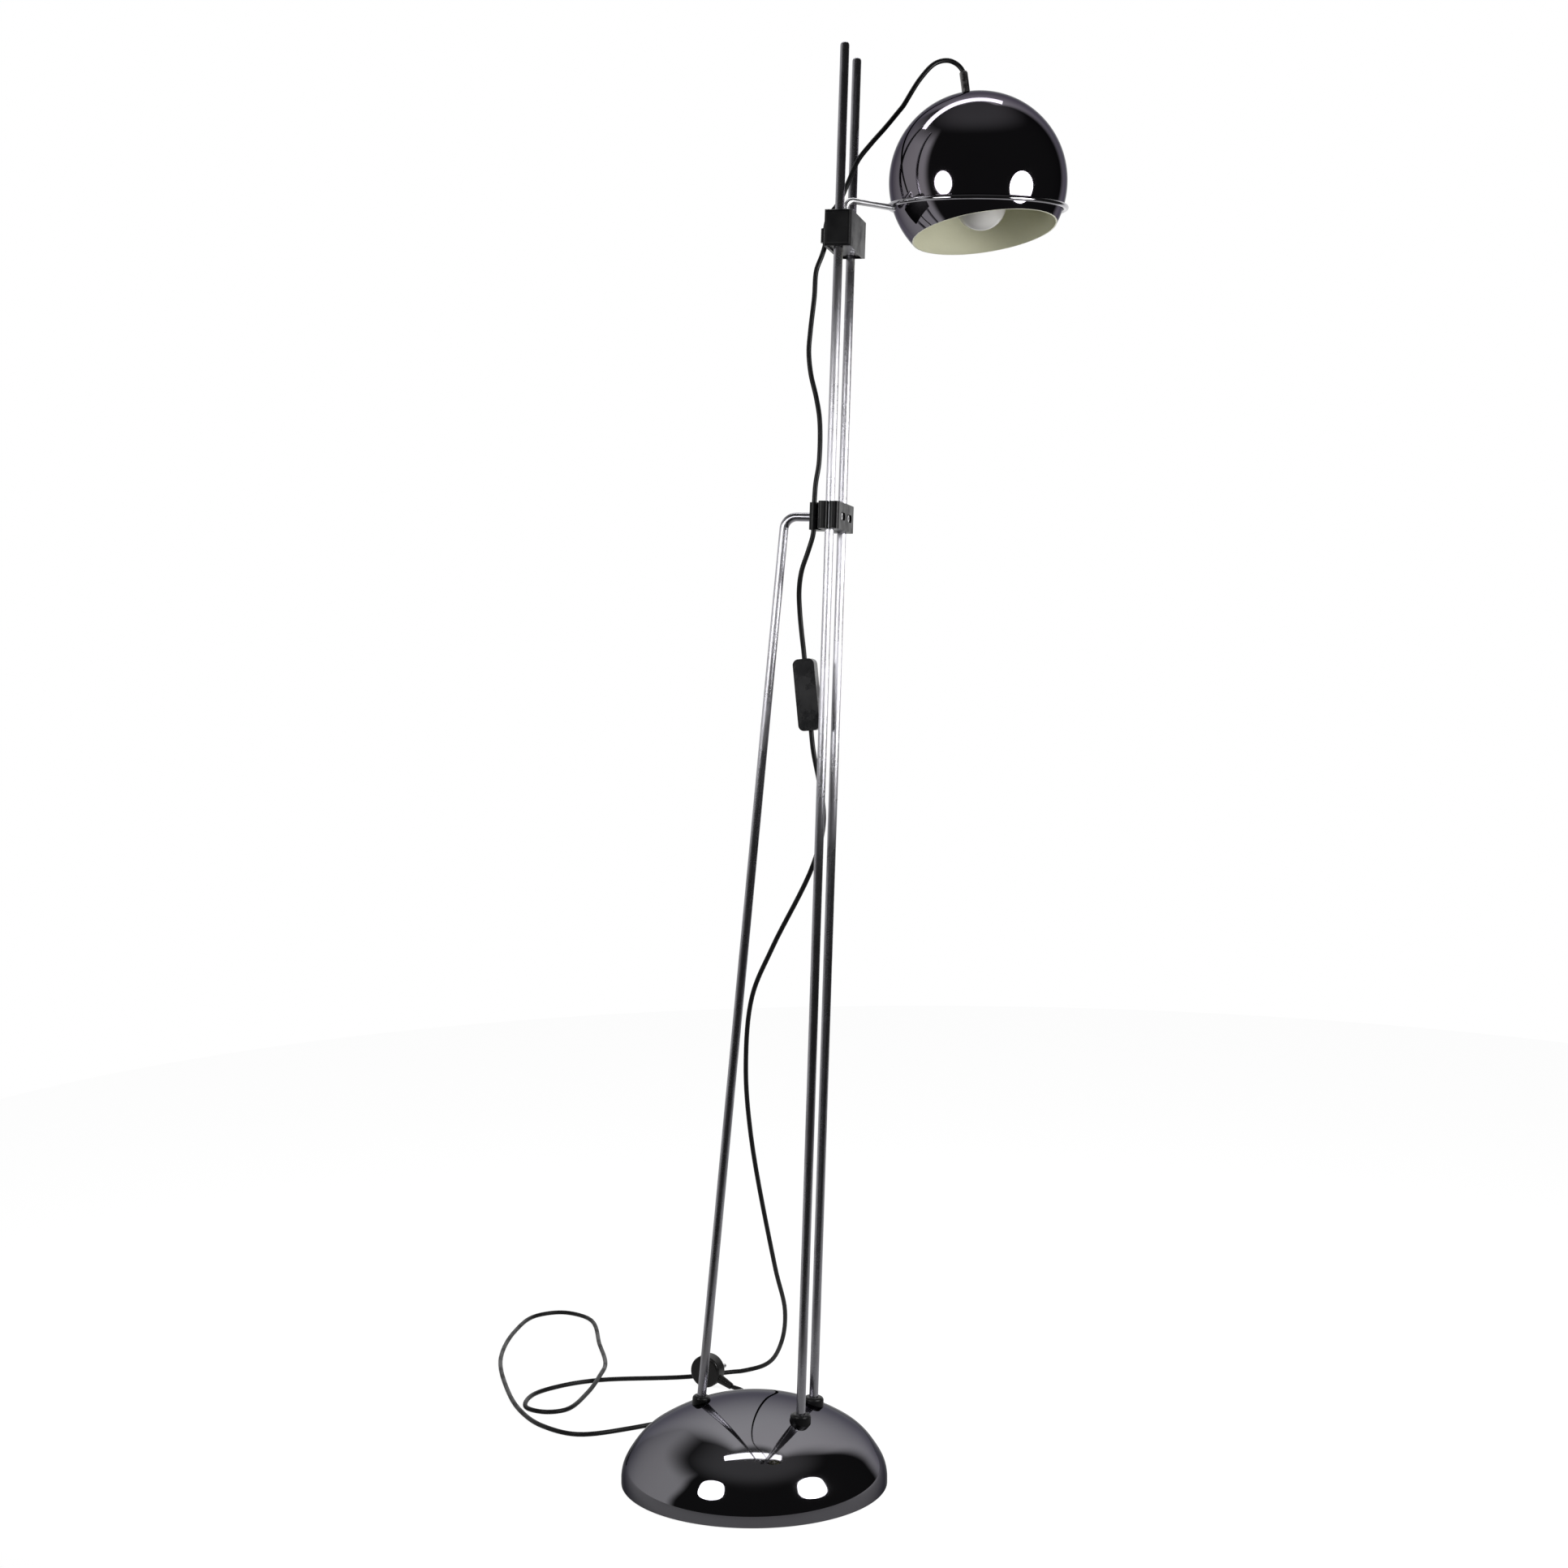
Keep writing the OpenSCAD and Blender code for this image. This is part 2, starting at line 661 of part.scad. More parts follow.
module friction_shoes() {
    color("white") at_slider() for (turn = [0, 180]) rotate([0, 0, turn]) difference() {
        translate([-pocket_w / 2 + soft_gap, shoe_back, shoe_low])
            cube([pocket_w - 2 * soft_gap, mast_gap / 2 - shoe_back - 1, shoe_top - shoe_low]);
        rod_bores(fit);
        translate([0, shoe_back - over, (shoe_low + shoe_top) / 2]) rotate([-90, 0, 0])
            cylinder(d = spring_d + spring_wire + 0.6, h = 3 + over);
    }
}

module shoe_spring() {
    half = shoe_back + 3 - spring_wire / 2;
    steps = spring_turns * 10;
    coil = [for (i = [0:steps])
        let (a = 360 * spring_turns * i / steps, r = spring_d / 2)
        [r * cos(a), (2 * i / steps - 1) * half, r * sin(a)]];
    color("gray") at_slider() translate([0, 0, (shoe_low + shoe_top) / 2])
        tube_along(coil, spring_wire, 5);
}

module arm_bush() {
    color([0.2, 0.2, 0.2]) at_slider() difference() {
        union() {
            translate([0, 0, bush_low]) cylinder(d = bush_d, h = slider_h / 2 - bush_low);
            translate([0, 0, slider_h / 2]) cylinder(d = flange_d, h = flange_t);
        }
        cylinder(d = arm_d + 2 * fit, h = slider_h);
    }
}

// ---- Arm and ring ----
module ring_body(d) {
    at_ring() rotate_extrude($fn = 96) translate([ring_r, 0]) circle(d = d, $fn = 32);
}

module shade_arm() {
    reach = seat_x / cos(arm_fall) + arm_end_past - elbow_r * tan(elbow_turn / 2);
    color("silver") difference() {
        at_arm() {
            difference() {
                translate([0, 0, leg_end]) cylinder(d = arm_d, h = elbow_low - leg_end);
                translate([0, 0, clip_at - fit]) difference() {
                    cylinder(d = arm_d + over, h = clip_t + 2 * fit);
                    cylinder(d = clip_neck, h = clip_t + 2 * fit);
                }
            }
            translate([0, 0, elbow_low]) {
                bend(arm_d, elbow_r, elbow_turn);
                past_bend(elbow_r, elbow_turn) rotate_extrude() {
                    square([arm_d / 2 + proud / 2, reach]);
                    intersection() {
                        translate([0, reach]) circle(d = arm_d + proud);
                        translate([0, reach]) square(arm_d);
                    }
                }
            }
        }
        ring_body(ring_wire);
    }
}

module shade_ring() {
    color("silver") ring_body(ring_wire);
}

module arm_clip() {
    color("gray") at_arm() translate([0, 0, clip_at]) difference() {
        cylinder(d = arm_d + 5, h = clip_t);
        translate([0, 0, -over]) cylinder(d = clip_neck + 2 * fit, h = clip_t + 2 * over);
        translate([0, -clip_neck * 0.4, -over]) cube([arm_d, clip_neck * 0.8, clip_t + 2 * over]);
    }
}

// ---- Globe, lampholder and bulb ----
module globe_shade() {
    color("silver") at_globe() difference() {
        sphere(globe_r, $fn = 128);
        sphere(globe_r - globe_t, $fn = 128);
        translate([0, 0, -globe_d - mouth_down]) cylinder(r = globe_d, h = globe_d);
        cylinder(d = tube_d + 0.4, h = globe_d);
    }
}

module cord_grip() {
    color("gray") at_globe() difference() {
        union() {
            intersection() {
                translate([0, 0, globe_r - 1]) cylinder(d = cup_d, h = cup_h + 1);
                translate([0, 0, globe_r + cup_h - cup_r]) sphere(cup_r);
            }
            translate([0, 0, globe_r]) cylinder(d = grip_d, h = grip_len - grip_edge);
            translate([0, 0, globe_r + grip_len - grip_edge])
                cylinder(d1 = grip_d, d2 = grip_d - grip_edge, h = grip_edge);
        }
        sphere(globe_r + fit, $fn = 128);
        cylinder(d = grip_bore, h = globe_d);
        translate([0, 0, globe_r - over]) cylinder(d = grip_bore + 0.6, h = over + 4);
    }
}

module nipple_tube() {
    color("gray") at_globe() difference() {
        translate([0, 0, holder_top - 6]) cylinder(d = tube_d, h = globe_r - 0.2 - holder_top + 6);
        translate([0, 0, holder_top - 7]) cylinder(d = tube_d - 2 * tube_wall, h = globe_d);
    }
}

module nipple_nuts() {
    color("silver") at_globe() for (z = [nut_low, holder_top + 0.2]) translate([0, 0, z]) difference() {
        hexagon(tube_d + 4, nipple_nut_h);
        translate([0, 0, -over]) cylinder(d = tube_d + 2 * fit, h = nipple_nut_h + 2 * over);
    }
}

module holder_cap() {
    color([0.12, 0.12, 0.12]) at_globe() difference() {
        union() {
            translate([0, 0, shell_top]) cylinder(d = holder_d, h = cap_h - cap_slope);
            translate([0, 0, holder_top - cap_slope])
                cylinder(d1 = holder_d, d2 = holder_d * 0.6, h = cap_slope);
        }
        translate([0, 0, shell_top - over])
            cylinder(d = holder_d - 2 * holder_wall, h = cap_h - cap_slope + over);
        cylinder(d = tube_d + 2 * fit, h = globe_r);
    }
}

module holder_shell() {
    color([0.12, 0.12, 0.12]) at_globe() difference() {
        union() {
            translate([0, 0, shell_low]) cylinder(d = holder_d, h = shell_top - shell_low);
            translate([0, 0, shell_low]) cylinder(d = holder_d + 3, h = 3);
        }
        translate([0, 0, shell_low - over]) cylinder(d = bulb_cap_d + 2, h = shell_top);
        translate([0, 0, core_low]) cylinder(d = core_d + 2 * fit, h = shell_top);
    }
}

module holder_core() {
    color("ivory") at_globe() difference() {
        union() {
            translate([0, 0, core_low]) cylinder(d = core_d, h = shell_top - core_low + 3);
            translate([0, 0, bulb_cap_top + 0.1]) cylinder(d = 6, h = 2);
        }
        translate([0, 0, shell_top + 2]) cylinder(d = 12, h = 2);
    }
}

module bulb_cap() {
    color("silver") at_globe() {
        translate([0, 0, bulb_seat]) cylinder(d = bulb_cap_d, h = bulb_cap_len - bulb_cone);
        translate([0, 0, bulb_cap_top - bulb_cone])
            cylinder(d1 = bulb_cap_d, d2 = foot_contact_d, h = bulb_cone);
    }
}

module bulb_glass() {
    r = bulb_d / 2;
    middle = r - bulb_tip;
    neck_r = bulb_cap_d / 2 - 1;
    color([0.93, 0.94, 0.95]) at_globe() rotate_extrude() intersection() {
        union() {
            translate([0, middle]) circle(r);
            difference() {
                translate([0, middle]) square([r * 0.86, bulb_seat - middle]);
                translate([neck_r + glass_neck_r, bulb_seat + 3]) circle(glass_neck_r);
            }
        }
        translate([0, -bulb_tip - over]) square([r, bulb_tip + bulb_seat + over]);
    }
}

// ---- Cords ----
module cord(route, before, after) {
    color("black") tube_along(route, cord_d, before = before, after = after);
}
module cord_top() {
    cord(top_route, after = back_route[1]);
}
module cord_back() {
    cord(back_route, before = top_route[len(top_route) - 2], after = middle_route[1]);
}
module cord_middle() {
    cord(middle_route, before = back_route[len(back_route) - 2], after = hang_route[1]);
}
module cord_hang() {
    cord(hang_route, before = middle_route[len(middle_route) - 2]);
}
module cord_floor() {
    cord(floor_route);
}

// ---- Switch. The halves meet at Y = 0, and the rocker looks out of the rear half. ----
module switch_half(depth) {
    difference() {
        rotate([90, 0, 0]) linear_extrude(depth) round_plan(switch_w, switch_len, 6);
        rotate([90, 0, 0]) translate([0, 0, -over]) linear_extrude(depth - switch_wall + over)
            round_plan(switch_w - 2 * switch_wall, switch_len - 2 * switch_wall, 4.2);
        cylinder(d = cord_d + 0.4, h = switch_len * 2, center = true);
    }
}

module screw_posts() {
    for (side = [-1, 1])
        translate([post_x, 0, side * post_z]) rotate([90, 0, 0]) children();
}

module switch_front() {
    color("black") at_switch() difference() {
        union() {
            switch_half(switch_t / 2);
            screw_posts() translate([0, 0, 0.1]) cylinder(d = post_w, h = switch_t / 2 - 0.1);
        }
        screw_posts() translate([0, 0, -over]) cylinder(d = screw_core + 0.7, h = switch_t);
        screw_posts() translate([0, 0, switch_t / 2 - 1.4]) cylinder(d = post_w, h = 1.4 + over);
    }
}

module switch_rear() {
    ear = switch_w / 2 - switch_wall - rocker_w / 2 - rocker_room;
    color("black") at_switch() difference() {
        union() {
            mirror([0, 1, 0]) switch_half(switch_t / 2);
            screw_posts() translate([0, 0, -switch_t / 2]) cylinder(d = post_w, h = switch_t / 2);
            for (side = [-1, 1])
                translate([side * (rocker_w / 2 + rocker_room + ear / 2), switch_t / 4, 0])
                    cube([ear, switch_t / 2 - 0.1, 7], center = true);
        }
        screw_posts() translate([0, 0, -switch_t / 2 + 3])
            cylinder(d = screw_core + 2 * fit, h = switch_t);
        translate([-rocker_w / 2 - rocker_room, 0, -rocker_len / 2 - 0.5])
            cube([rocker_w + 2 * rocker_room, switch_t, rocker_len + 1]);
        translate([0, switch_t / 2 - pin_in, 0]) rotate([0, 90, 0])
            cylinder(d = rocker_pin_d + 2 * fit, h = rocker_w + 4 + 2 * rocker_room, center = true);
    }
}

module switch_rocker() {
    color([0.15, 0.15, 0.15]) at_switch() translate([0, switch_t / 2 - pin_in, 0]) {
        rotate([0, 90, 0]) cylinder(d = rocker_pin_d, h = rocker_w + 4, center = true);
        rotate([rocker_tip, 0, 0]) intersection() {
            translate([0, 2.2, 0]) cube([rocker_w, 7, rocker_len - 1.5], center = true);
            translate([0, rocker_r + 3.6, 0]) rotate([0, 90, 0]) difference() {
                cylinder(r = 4 * rocker_r, h = rocker_w, center = true);
                cylinder(r = rocker_r - 1.2, h = rocker_w + 2, center = true);
            }
        }
    }
}

module switch_screws() {
    color("silver") at_switch() screw_posts() {
        translate([0, 0, 3 - switch_t / 2]) cylinder(d = screw_core, h = switch_t - 4.4);
        translate([0, 0, switch_t / 2 - 1.3]) cylinder(d = screw_head_d, h = 1.2);
    }
}

module switch_contacts() {
    color("gold") at_switch() for (side = [-1, 1])
        translate([-post_x, switch_wall - switch_t / 2, side * contact_z - contact_len / 2])
            cube([contact_w, contact_w, contact_len]);
}

// ---- Plug ----
module plug_body() {
    color("black") at_plug() difference() {
        union() {
            rotate_extrude() {
                square([plug_d / 2 - 3, plug_t]);
                translate([0, 3]) square([plug_d / 2, plug_t - 3]);
                translate([plug_d / 2 - 3, 3]) circle(3);
            }
            translate([0, 0, plug_t / 2]) rotate([0, 0, neck_fall]) rotate([0, 90, 0])
                translate([0, 0, neck_from]) cylinder(d1 = neck_d, d2 = neck_d * 0.65, h = neck_to - neck_from);
        }
        translate([0, 0, plug_t / 2]) rotate([0, 0, neck_fall]) rotate([0, 90, 0])
            translate([0, 0, neck_to - 6]) cylinder(d = cord_d + 0.2, h = 8);
    }
}

module plug_pins() {
    color("silver") at_plug() for (side = [-1, 1])
        translate([side * pin_gap / 2, 0, plug_t]) {
            cylinder(d = pin_d, h = pin_len - pin_d / 2);
            translate([0, 0, pin_len - pin_d / 2]) sphere(d = pin_d);
        }
}

base_shell();
base_weight();
base_pad();
rod_nuts();
rod_washers();
ferrule_front();
ferrule_rear();
ferrule_strut();
mast_rod_front();
mast_rod_rear();
strut_rod();
clamp_inner_jaw();
clamp_outer_jaw();
clamp_screws();
clamp_nuts();
slider_housing();
slider_cover();
cover_screws();
friction_shoes();
shoe_spring();
arm_bush();
shade_arm();
shade_ring();
arm_clip();
globe_shade();
cord_grip();
nipple_tube();
nipple_nuts();
holder_cap();
holder_shell();
holder_core();
bulb_cap();
bulb_glass();
cord_top();
cord_back();
cord_middle();
cord_hang();
cord_floor();
switch_front();
switch_rear();
switch_rocker();
switch_screws();
switch_contacts();
plug_body();
plug_pins();
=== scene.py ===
"""A floor lamp: a chromed dome, two mast rods and a strut, a sliding block, and a
chromed globe shade in a wire ring, with its cord, switch and plug.

Lengths are in millimetres until a piece is made, and in metres after that. Places come
from the same few sizes as the solid model: the lean of the mast, the height of the
slider, the swing of the arm and the tilt of the globe."""

import math

import bpy
from mathutils import Matrix, Vector


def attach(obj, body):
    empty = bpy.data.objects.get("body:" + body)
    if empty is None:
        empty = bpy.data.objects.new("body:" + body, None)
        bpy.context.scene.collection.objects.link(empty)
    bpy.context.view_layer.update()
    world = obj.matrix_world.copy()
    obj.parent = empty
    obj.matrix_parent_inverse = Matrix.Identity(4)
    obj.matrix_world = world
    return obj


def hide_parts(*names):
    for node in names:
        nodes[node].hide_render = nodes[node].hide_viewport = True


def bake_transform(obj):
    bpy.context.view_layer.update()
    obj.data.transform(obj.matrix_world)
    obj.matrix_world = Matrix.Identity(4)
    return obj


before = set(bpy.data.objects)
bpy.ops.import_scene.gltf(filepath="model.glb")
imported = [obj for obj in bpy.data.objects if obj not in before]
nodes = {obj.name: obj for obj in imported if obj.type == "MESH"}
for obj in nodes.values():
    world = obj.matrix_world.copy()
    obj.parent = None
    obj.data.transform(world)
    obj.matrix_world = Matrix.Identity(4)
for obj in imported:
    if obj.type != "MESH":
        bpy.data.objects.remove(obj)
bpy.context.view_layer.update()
MM = 0.001

# ---- Sizes of the lamp, in millimetres and degrees ----
BASE_D, BASE_H, CROWN_FLAT, SHOULDER_R, SHELL_T, RIM_LIFT = 267, 83, 42, 67, 1.5, 1
ROD_D, THREAD_D, THREAD_END, ROD_FROM, ROD_EDGE = 9, 7, 6, 19.1, 0.5
MAST_FOOT, MAST_GAP, MAST_LEAN, MAST_LEN = 52, 56, 1.9, 1431
STRUT_FOOT, STRUT_LEAN, STRUT_BEND, CLAMP_AT, SOCKET_END = 63, 5.6, 13, 966, 8.2
SLIDER_AT, SLIDER_H = 1247.5, 36
ARM_REACH, ARM_SWING, RING_WIRE, RING_UP, RING_PITCH, RING_ROLL = 139, 30, 5, 21, 2.5, 5
GLOBE_D, GLOBE_T, MOUTH_DOWN, GLOBE_DROP, GLOBE_TILT, GLOBE_ROLL = 180, 1.2, 52, 25, 7, 7.5
RING_CLEAR = 0.3
HOLE_ANGLE = 3.3
LIP_LIFT, LIP_FADE = 6.5, 36
CORD_D = 5
MAST_AXIS = (0.033, 0, 0.999)

# ---- Where the camera stands, how far it is turned to the left, and its lens ----
EYE = (568.4, -2156.6, 780.0)
VIEW_TURN = 14
LENS, SENSOR_W = 50.96, 36
HORIZON_SHIFT = -0.0512

# ---- How finely shapes are drawn ----
ROUTE_STEPS, BEND_STEPS = 8, 24
ON_AXIS = 1e-6
STEEP = 0.9

# ---- Routes of the cord, given along its middle ----
TOP_ROUTE = [(201.6, 72.8, 1411.5), (199.8, 73.2, 1421.2), (194.4, 71.9, 1428.5),
             (185.3, 68, 1432.3), (173.2, 63, 1429), (159.7, 56, 1413.4), (143.1, 46, 1383)]
BACK_ROUTE = [(143.1, 46, 1383), (126.5, 36, 1359.5), (113.4, 28, 1342), (101.9, 21, 1324.6),
              (93.5, 13, 1301), (85, 9.5, 1281), (75, 7.5, 1267), (72.3, 6.1, 1257),
              (72, 6, 1252)]
MIDDLE_ROUTE = [(72, 6, 1252), (71.6, 6, 1239), (68.3, 6, 1228), (62.8, 5, 1213), (61, 4, 1187),
                (57.5, 1, 1151), (56.5, -1, 1131), (59, -3, 1109), (65.4, -6, 1084),
                (69.5, -9, 1061), (69.6, -12, 1020), (66.3, -13, 998), (65.1, -13, 982),
                (64.4, -13, 966)]
HANG_ROUTE = [(64.4, -13, 966), (63.9, -13, 949), (58.5, -11.5, 932), (51, -9, 912),
              (47.5, -5, 893), (47.2, -1, 872), (48.3, 2, 852), (50, 4.5, 832),
              (51.1, 5, 818.9)]
FLOOR_ROUTE = [(56.9, 5, 759.1), (59.2, 5.6, 735), (68, 15, 665), (55, 25, 618), (6, 50, 530),
               (-20, 67, 477), (-34, 94, 403), (-39, 134, 318), (-34, 218, 159), (-34, 264, 98),
               (-48, 302, 50), (-72, 334, 16), (-99.9, 341.8, 3.6), (-160, 304, 2.6),
               (-254, 268, 2.6), (-289.9, 236.9, 2.6), (-309.8, 197.6, 2.6), (-301.1, 154, 2.6),
               (-275.7, 144.1, 2.6), (-256.1, 157.1, 2.6), (-251.1, 214.9, 4), (-254, 268, 8),
               (-268.4, 329.8, 3), (-300, 401.9, 2.6), (-350.6, 507.2, 2.6), (-392.6, 525.6, 2.6),
               (-419.3, 502.4, 2.6), (-420.4, 432.4, 2.6), (-396.3, 321.6, 2.6), (-350, 219, 2.6),
               (-303, 141, 2.6), (-262, 99, 2.6), (-216, 82, 2.6), (-166, 116, 2.6),
               (-91.9, 204.1, 2.6), (-79.9, 238.2, 2.6), (-79.4, 257.5, 2.6), (-87, 271, 2.8),
               (-100.2, 278, 3.7), (-105.5, 279, 6.2)]


# ---- Places of the sub-assemblies ----
def turn(axis, degrees):
    """A turn about one of the three axes."""
    return Matrix.Rotation(math.radians(degrees), 4, axis)


def at(*place):
    """A move to a place."""
    return Matrix.Translation(Vector(place))


MAST = at(MAST_FOOT, 0, 0) @ turn("Y", MAST_LEAN)
SLIDER = MAST @ at(0, 0, SLIDER_AT)
ARM = SLIDER @ turn("Z", ARM_SWING)
RING_Z = SLIDER_H / 2 + RING_UP
RING = ARM @ at(ARM_REACH, 0, RING_Z) @ turn("Y", -RING_PITCH) @ turn("X", RING_ROLL)
GLOBE = (at(*(RING @ Vector((0, 0, GLOBE_DROP)))) @ ARM.to_3x3().to_4x4()
         @ turn("Y", -GLOBE_TILT) @ turn("X", -GLOBE_ROLL))


# ---- Making meshes ----
def piece(name, points, faces, body, slot, place=None, sharp=40):
    """A mesh in metres, smooth but for edges sharper than so many degrees, riding on a body."""
    mesh = bpy.data.meshes.new(name)
    mesh.from_pydata([(place @ Vector(p) if place else Vector(p)) * MM for p in points], [], faces)
    mesh.validate()
    mesh.shade_smooth()
    mesh.set_sharp_from_angle(angle=math.radians(sharp))
    made = bpy.data.objects.new(name, mesh)
    bpy.context.scene.collection.objects.link(made)
    if body:
        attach(made, body)
    return made


def lathe(profile, steps, closed=True):
    """Points and faces of a profile of (radius, height) turned about the Z axis.

    A closed profile ends where it starts, and an open one starts and ends on the axis."""
    points, rows = [], []
    for radius, height in profile:
        if radius < ON_AXIS:
            rows.append([len(points)] * steps)
            points.append((0, 0, height))
            continue
        rows.append(list(range(len(points), len(points) + steps)))
        points += [(radius * math.cos(2 * math.pi * s / steps),
                    radius * math.sin(2 * math.pi * s / steps), height) for s in range(steps)]
    faces = []
    for low, high in zip(rows, rows[1:] + rows[:1] if closed else rows[1:]):
        for s in range(steps):
            t = (s + 1) % steps
            corners = []
            for corner in (low[s], low[t], high[t], high[s]):
                if corner not in corners:
                    corners.append(corner)
            if len(corners) > 2:
                faces.append(corners)
    return points, faces


def arc(centre, radius, start, end, count):
    """Points of an arc, whose angles are counted from straight up towards the outside."""
    angles = [math.radians(start + (end - start) * i / count) for i in range(count + 1)]
    return [(centre[0] + radius * math.sin(a), centre[1] + radius * math.cos(a)) for a in angles]


def smooth(route):
    """A smooth line through the points of a cord's route that never dips into the floor."""
    line = [Vector(p) for p in route]
    line = [2 * line[0] - line[1]] + line + [2 * line[-1] - line[-2]]
    out = []
    for i in range(1, len(line) - 2):
        before, start, end, after = line[i - 1:i + 3]
        a = (start - before).length ** 0.5
        b = a + (end - start).length ** 0.5
        c = b + (after - end).length ** 0.5
        for s in range(ROUTE_STEPS):
            t = a + (b - a) * s / ROUTE_STEPS
            p1 = before.lerp(start, t / a)
            p2 = start.lerp(end, (t - a) / (b - a))
            p3 = end.lerp(after, (t - b) / (c - b))
            q1 = p1.lerp(p2, t / b)
            q2 = p2.lerp(p3, (t - a) / (c - a))
            out.append(q1.lerp(q2, (t - a) / (b - a)))
    out.append(line[-2])
    for p in out:
        p.z = max(p.z, CORD_D / 2)
    return out


def tube(line, radius, sides=16):
    """Points and faces of a closed round tube along a line."""
    count = len(line)
    ways = [(line[min(i + 1, count - 1)] - line[max(i - 1, 0)]).normalized() for i in range(count)]
    off = Vector((0, 1, 0)) if abs(ways[0].z) > STEEP else Vector((0, 0, 1))
    side = ways[0].cross(off).normalized()
    points, faces = [], []
    for i, (p, way) in enumerate(zip(line, ways)):
        if i:
            side = ways[i - 1].rotation_difference(way) @ side
        up = way.cross(side)
        points += [p + radius * (math.cos(2 * math.pi * s / sides) * side
                                 + math.sin(2 * math.pi * s / sides) * up) for s in range(sides)]
    for i in range(count - 1):
        for s in range(sides):
            t = (s + 1) % sides
            faces.append([i * sides + s, i * sides + t, (i + 1) * sides + t, (i + 1) * sides + s])
    faces.append(list(range(sides))[::-1])
    faces.append([(count - 1) * sides + s for s in range(sides)])
    return points, faces


# ---- Shared surface effects ----
SMEAR_FROM, SMEAR_TO = 0.42, 0.68
MOTTLE, MOTTLE_SHARE = 40, 0.4


def effect(name, inputs, output):
    """An empty node group with a place and number inputs, and one number output."""
    group = bpy.data.node_groups.new(name, "ShaderNodeTree")
    group.interface.new_socket("Place", in_out="INPUT", socket_type="NodeSocketVector")
    for label, value in inputs.items():
        socket = group.interface.new_socket(label, in_out="INPUT", socket_type="NodeSocketFloat")
        socket.default_value = value
    group.interface.new_socket(output, in_out="OUTPUT", socket_type="NodeSocketFloat")
    source = group.nodes.new("NodeGroupInput")
    sink = group.nodes.new("NodeGroupOutput")
    return group, source, sink


def noise_node(tree, place, scale, detail, rough):
    """A cloudy value, whose place and scale come from sockets."""
    noise = tree.nodes.new("ShaderNodeTexNoise")
    noise.inputs["Detail"].default_value = detail
    noise.inputs["Roughness"].default_value = rough
    tree.links.new(place, noise.inputs["Vector"])
    tree.links.new(scale, noise.inputs["Scale"])
    return noise


def make_smears():
    """Wiped marks and finger smears: a roughness between two levels."""
    group, source, sink = effect("smears", {"Scale": 9, "Low": 0.03, "High": 0.1}, "Roughness")
    wide = noise_node(group, source.outputs["Place"], source.outputs["Scale"], detail=6, rough=0.6)
    fit = group.nodes.new("ShaderNodeMapRange")
    fit.interpolation_type = "SMOOTHSTEP"
    fit.inputs["From Min"].default_value = SMEAR_FROM
    fit.inputs["From Max"].default_value = SMEAR_TO
    group.links.new(wide.outputs["Fac"], fit.inputs["Value"])
    group.links.new(source.outputs["Low"], fit.inputs["To Min"])
    group.links.new(source.outputs["High"], fit.inputs["To Max"])
    group.links.new(fit.outputs["Result"], sink.inputs["Roughness"])
    return group


def make_grain():
    """The fine spark-eroded grain of a moulding, as a height."""
    group, source, sink = effect("grain", {"Scale": 900, "Mottle": MOTTLE}, "Height")
    fine = noise_node(group, source.outputs["Place"], source.outputs["Scale"], detail=2, rough=0.6)
    slow = noise_node(group, source.outputs["Place"], source.outputs["Mottle"], detail=3, rough=0.5)
    both = group.nodes.new("ShaderNodeMath")
    both.operation = "MULTIPLY_ADD"
    both.inputs[1].default_value = MOTTLE_SHARE
    group.links.new(slow.outputs["Fac"], both.inputs[0])
    group.links.new(fine.outputs["Fac"], both.inputs[2])
    group.links.new(both.outputs["Value"], sink.inputs["Height"])
    return group


def make_patches():
    """Slow uneven patches, from 0 to 1, such as dust, tarnish or heat marks."""
    group, source, sink = effect("patches", {"Scale": 14, "From": 0.45, "To": 0.75}, "Mask")
    cloud = noise_node(group, source.outputs["Place"], source.outputs["Scale"], detail=5, rough=0.55)
    fit = group.nodes.new("ShaderNodeMapRange")
    group.links.new(cloud.outputs["Fac"], fit.inputs["Value"])
    group.links.new(source.outputs["From"], fit.inputs["From Min"])
    group.links.new(source.outputs["To"], fit.inputs["From Max"])
    group.links.new(fit.outputs["Result"], sink.inputs["Mask"])
    return group


SMEARS, GRAIN, PATCHES = make_smears(), make_grain(), make_patches()


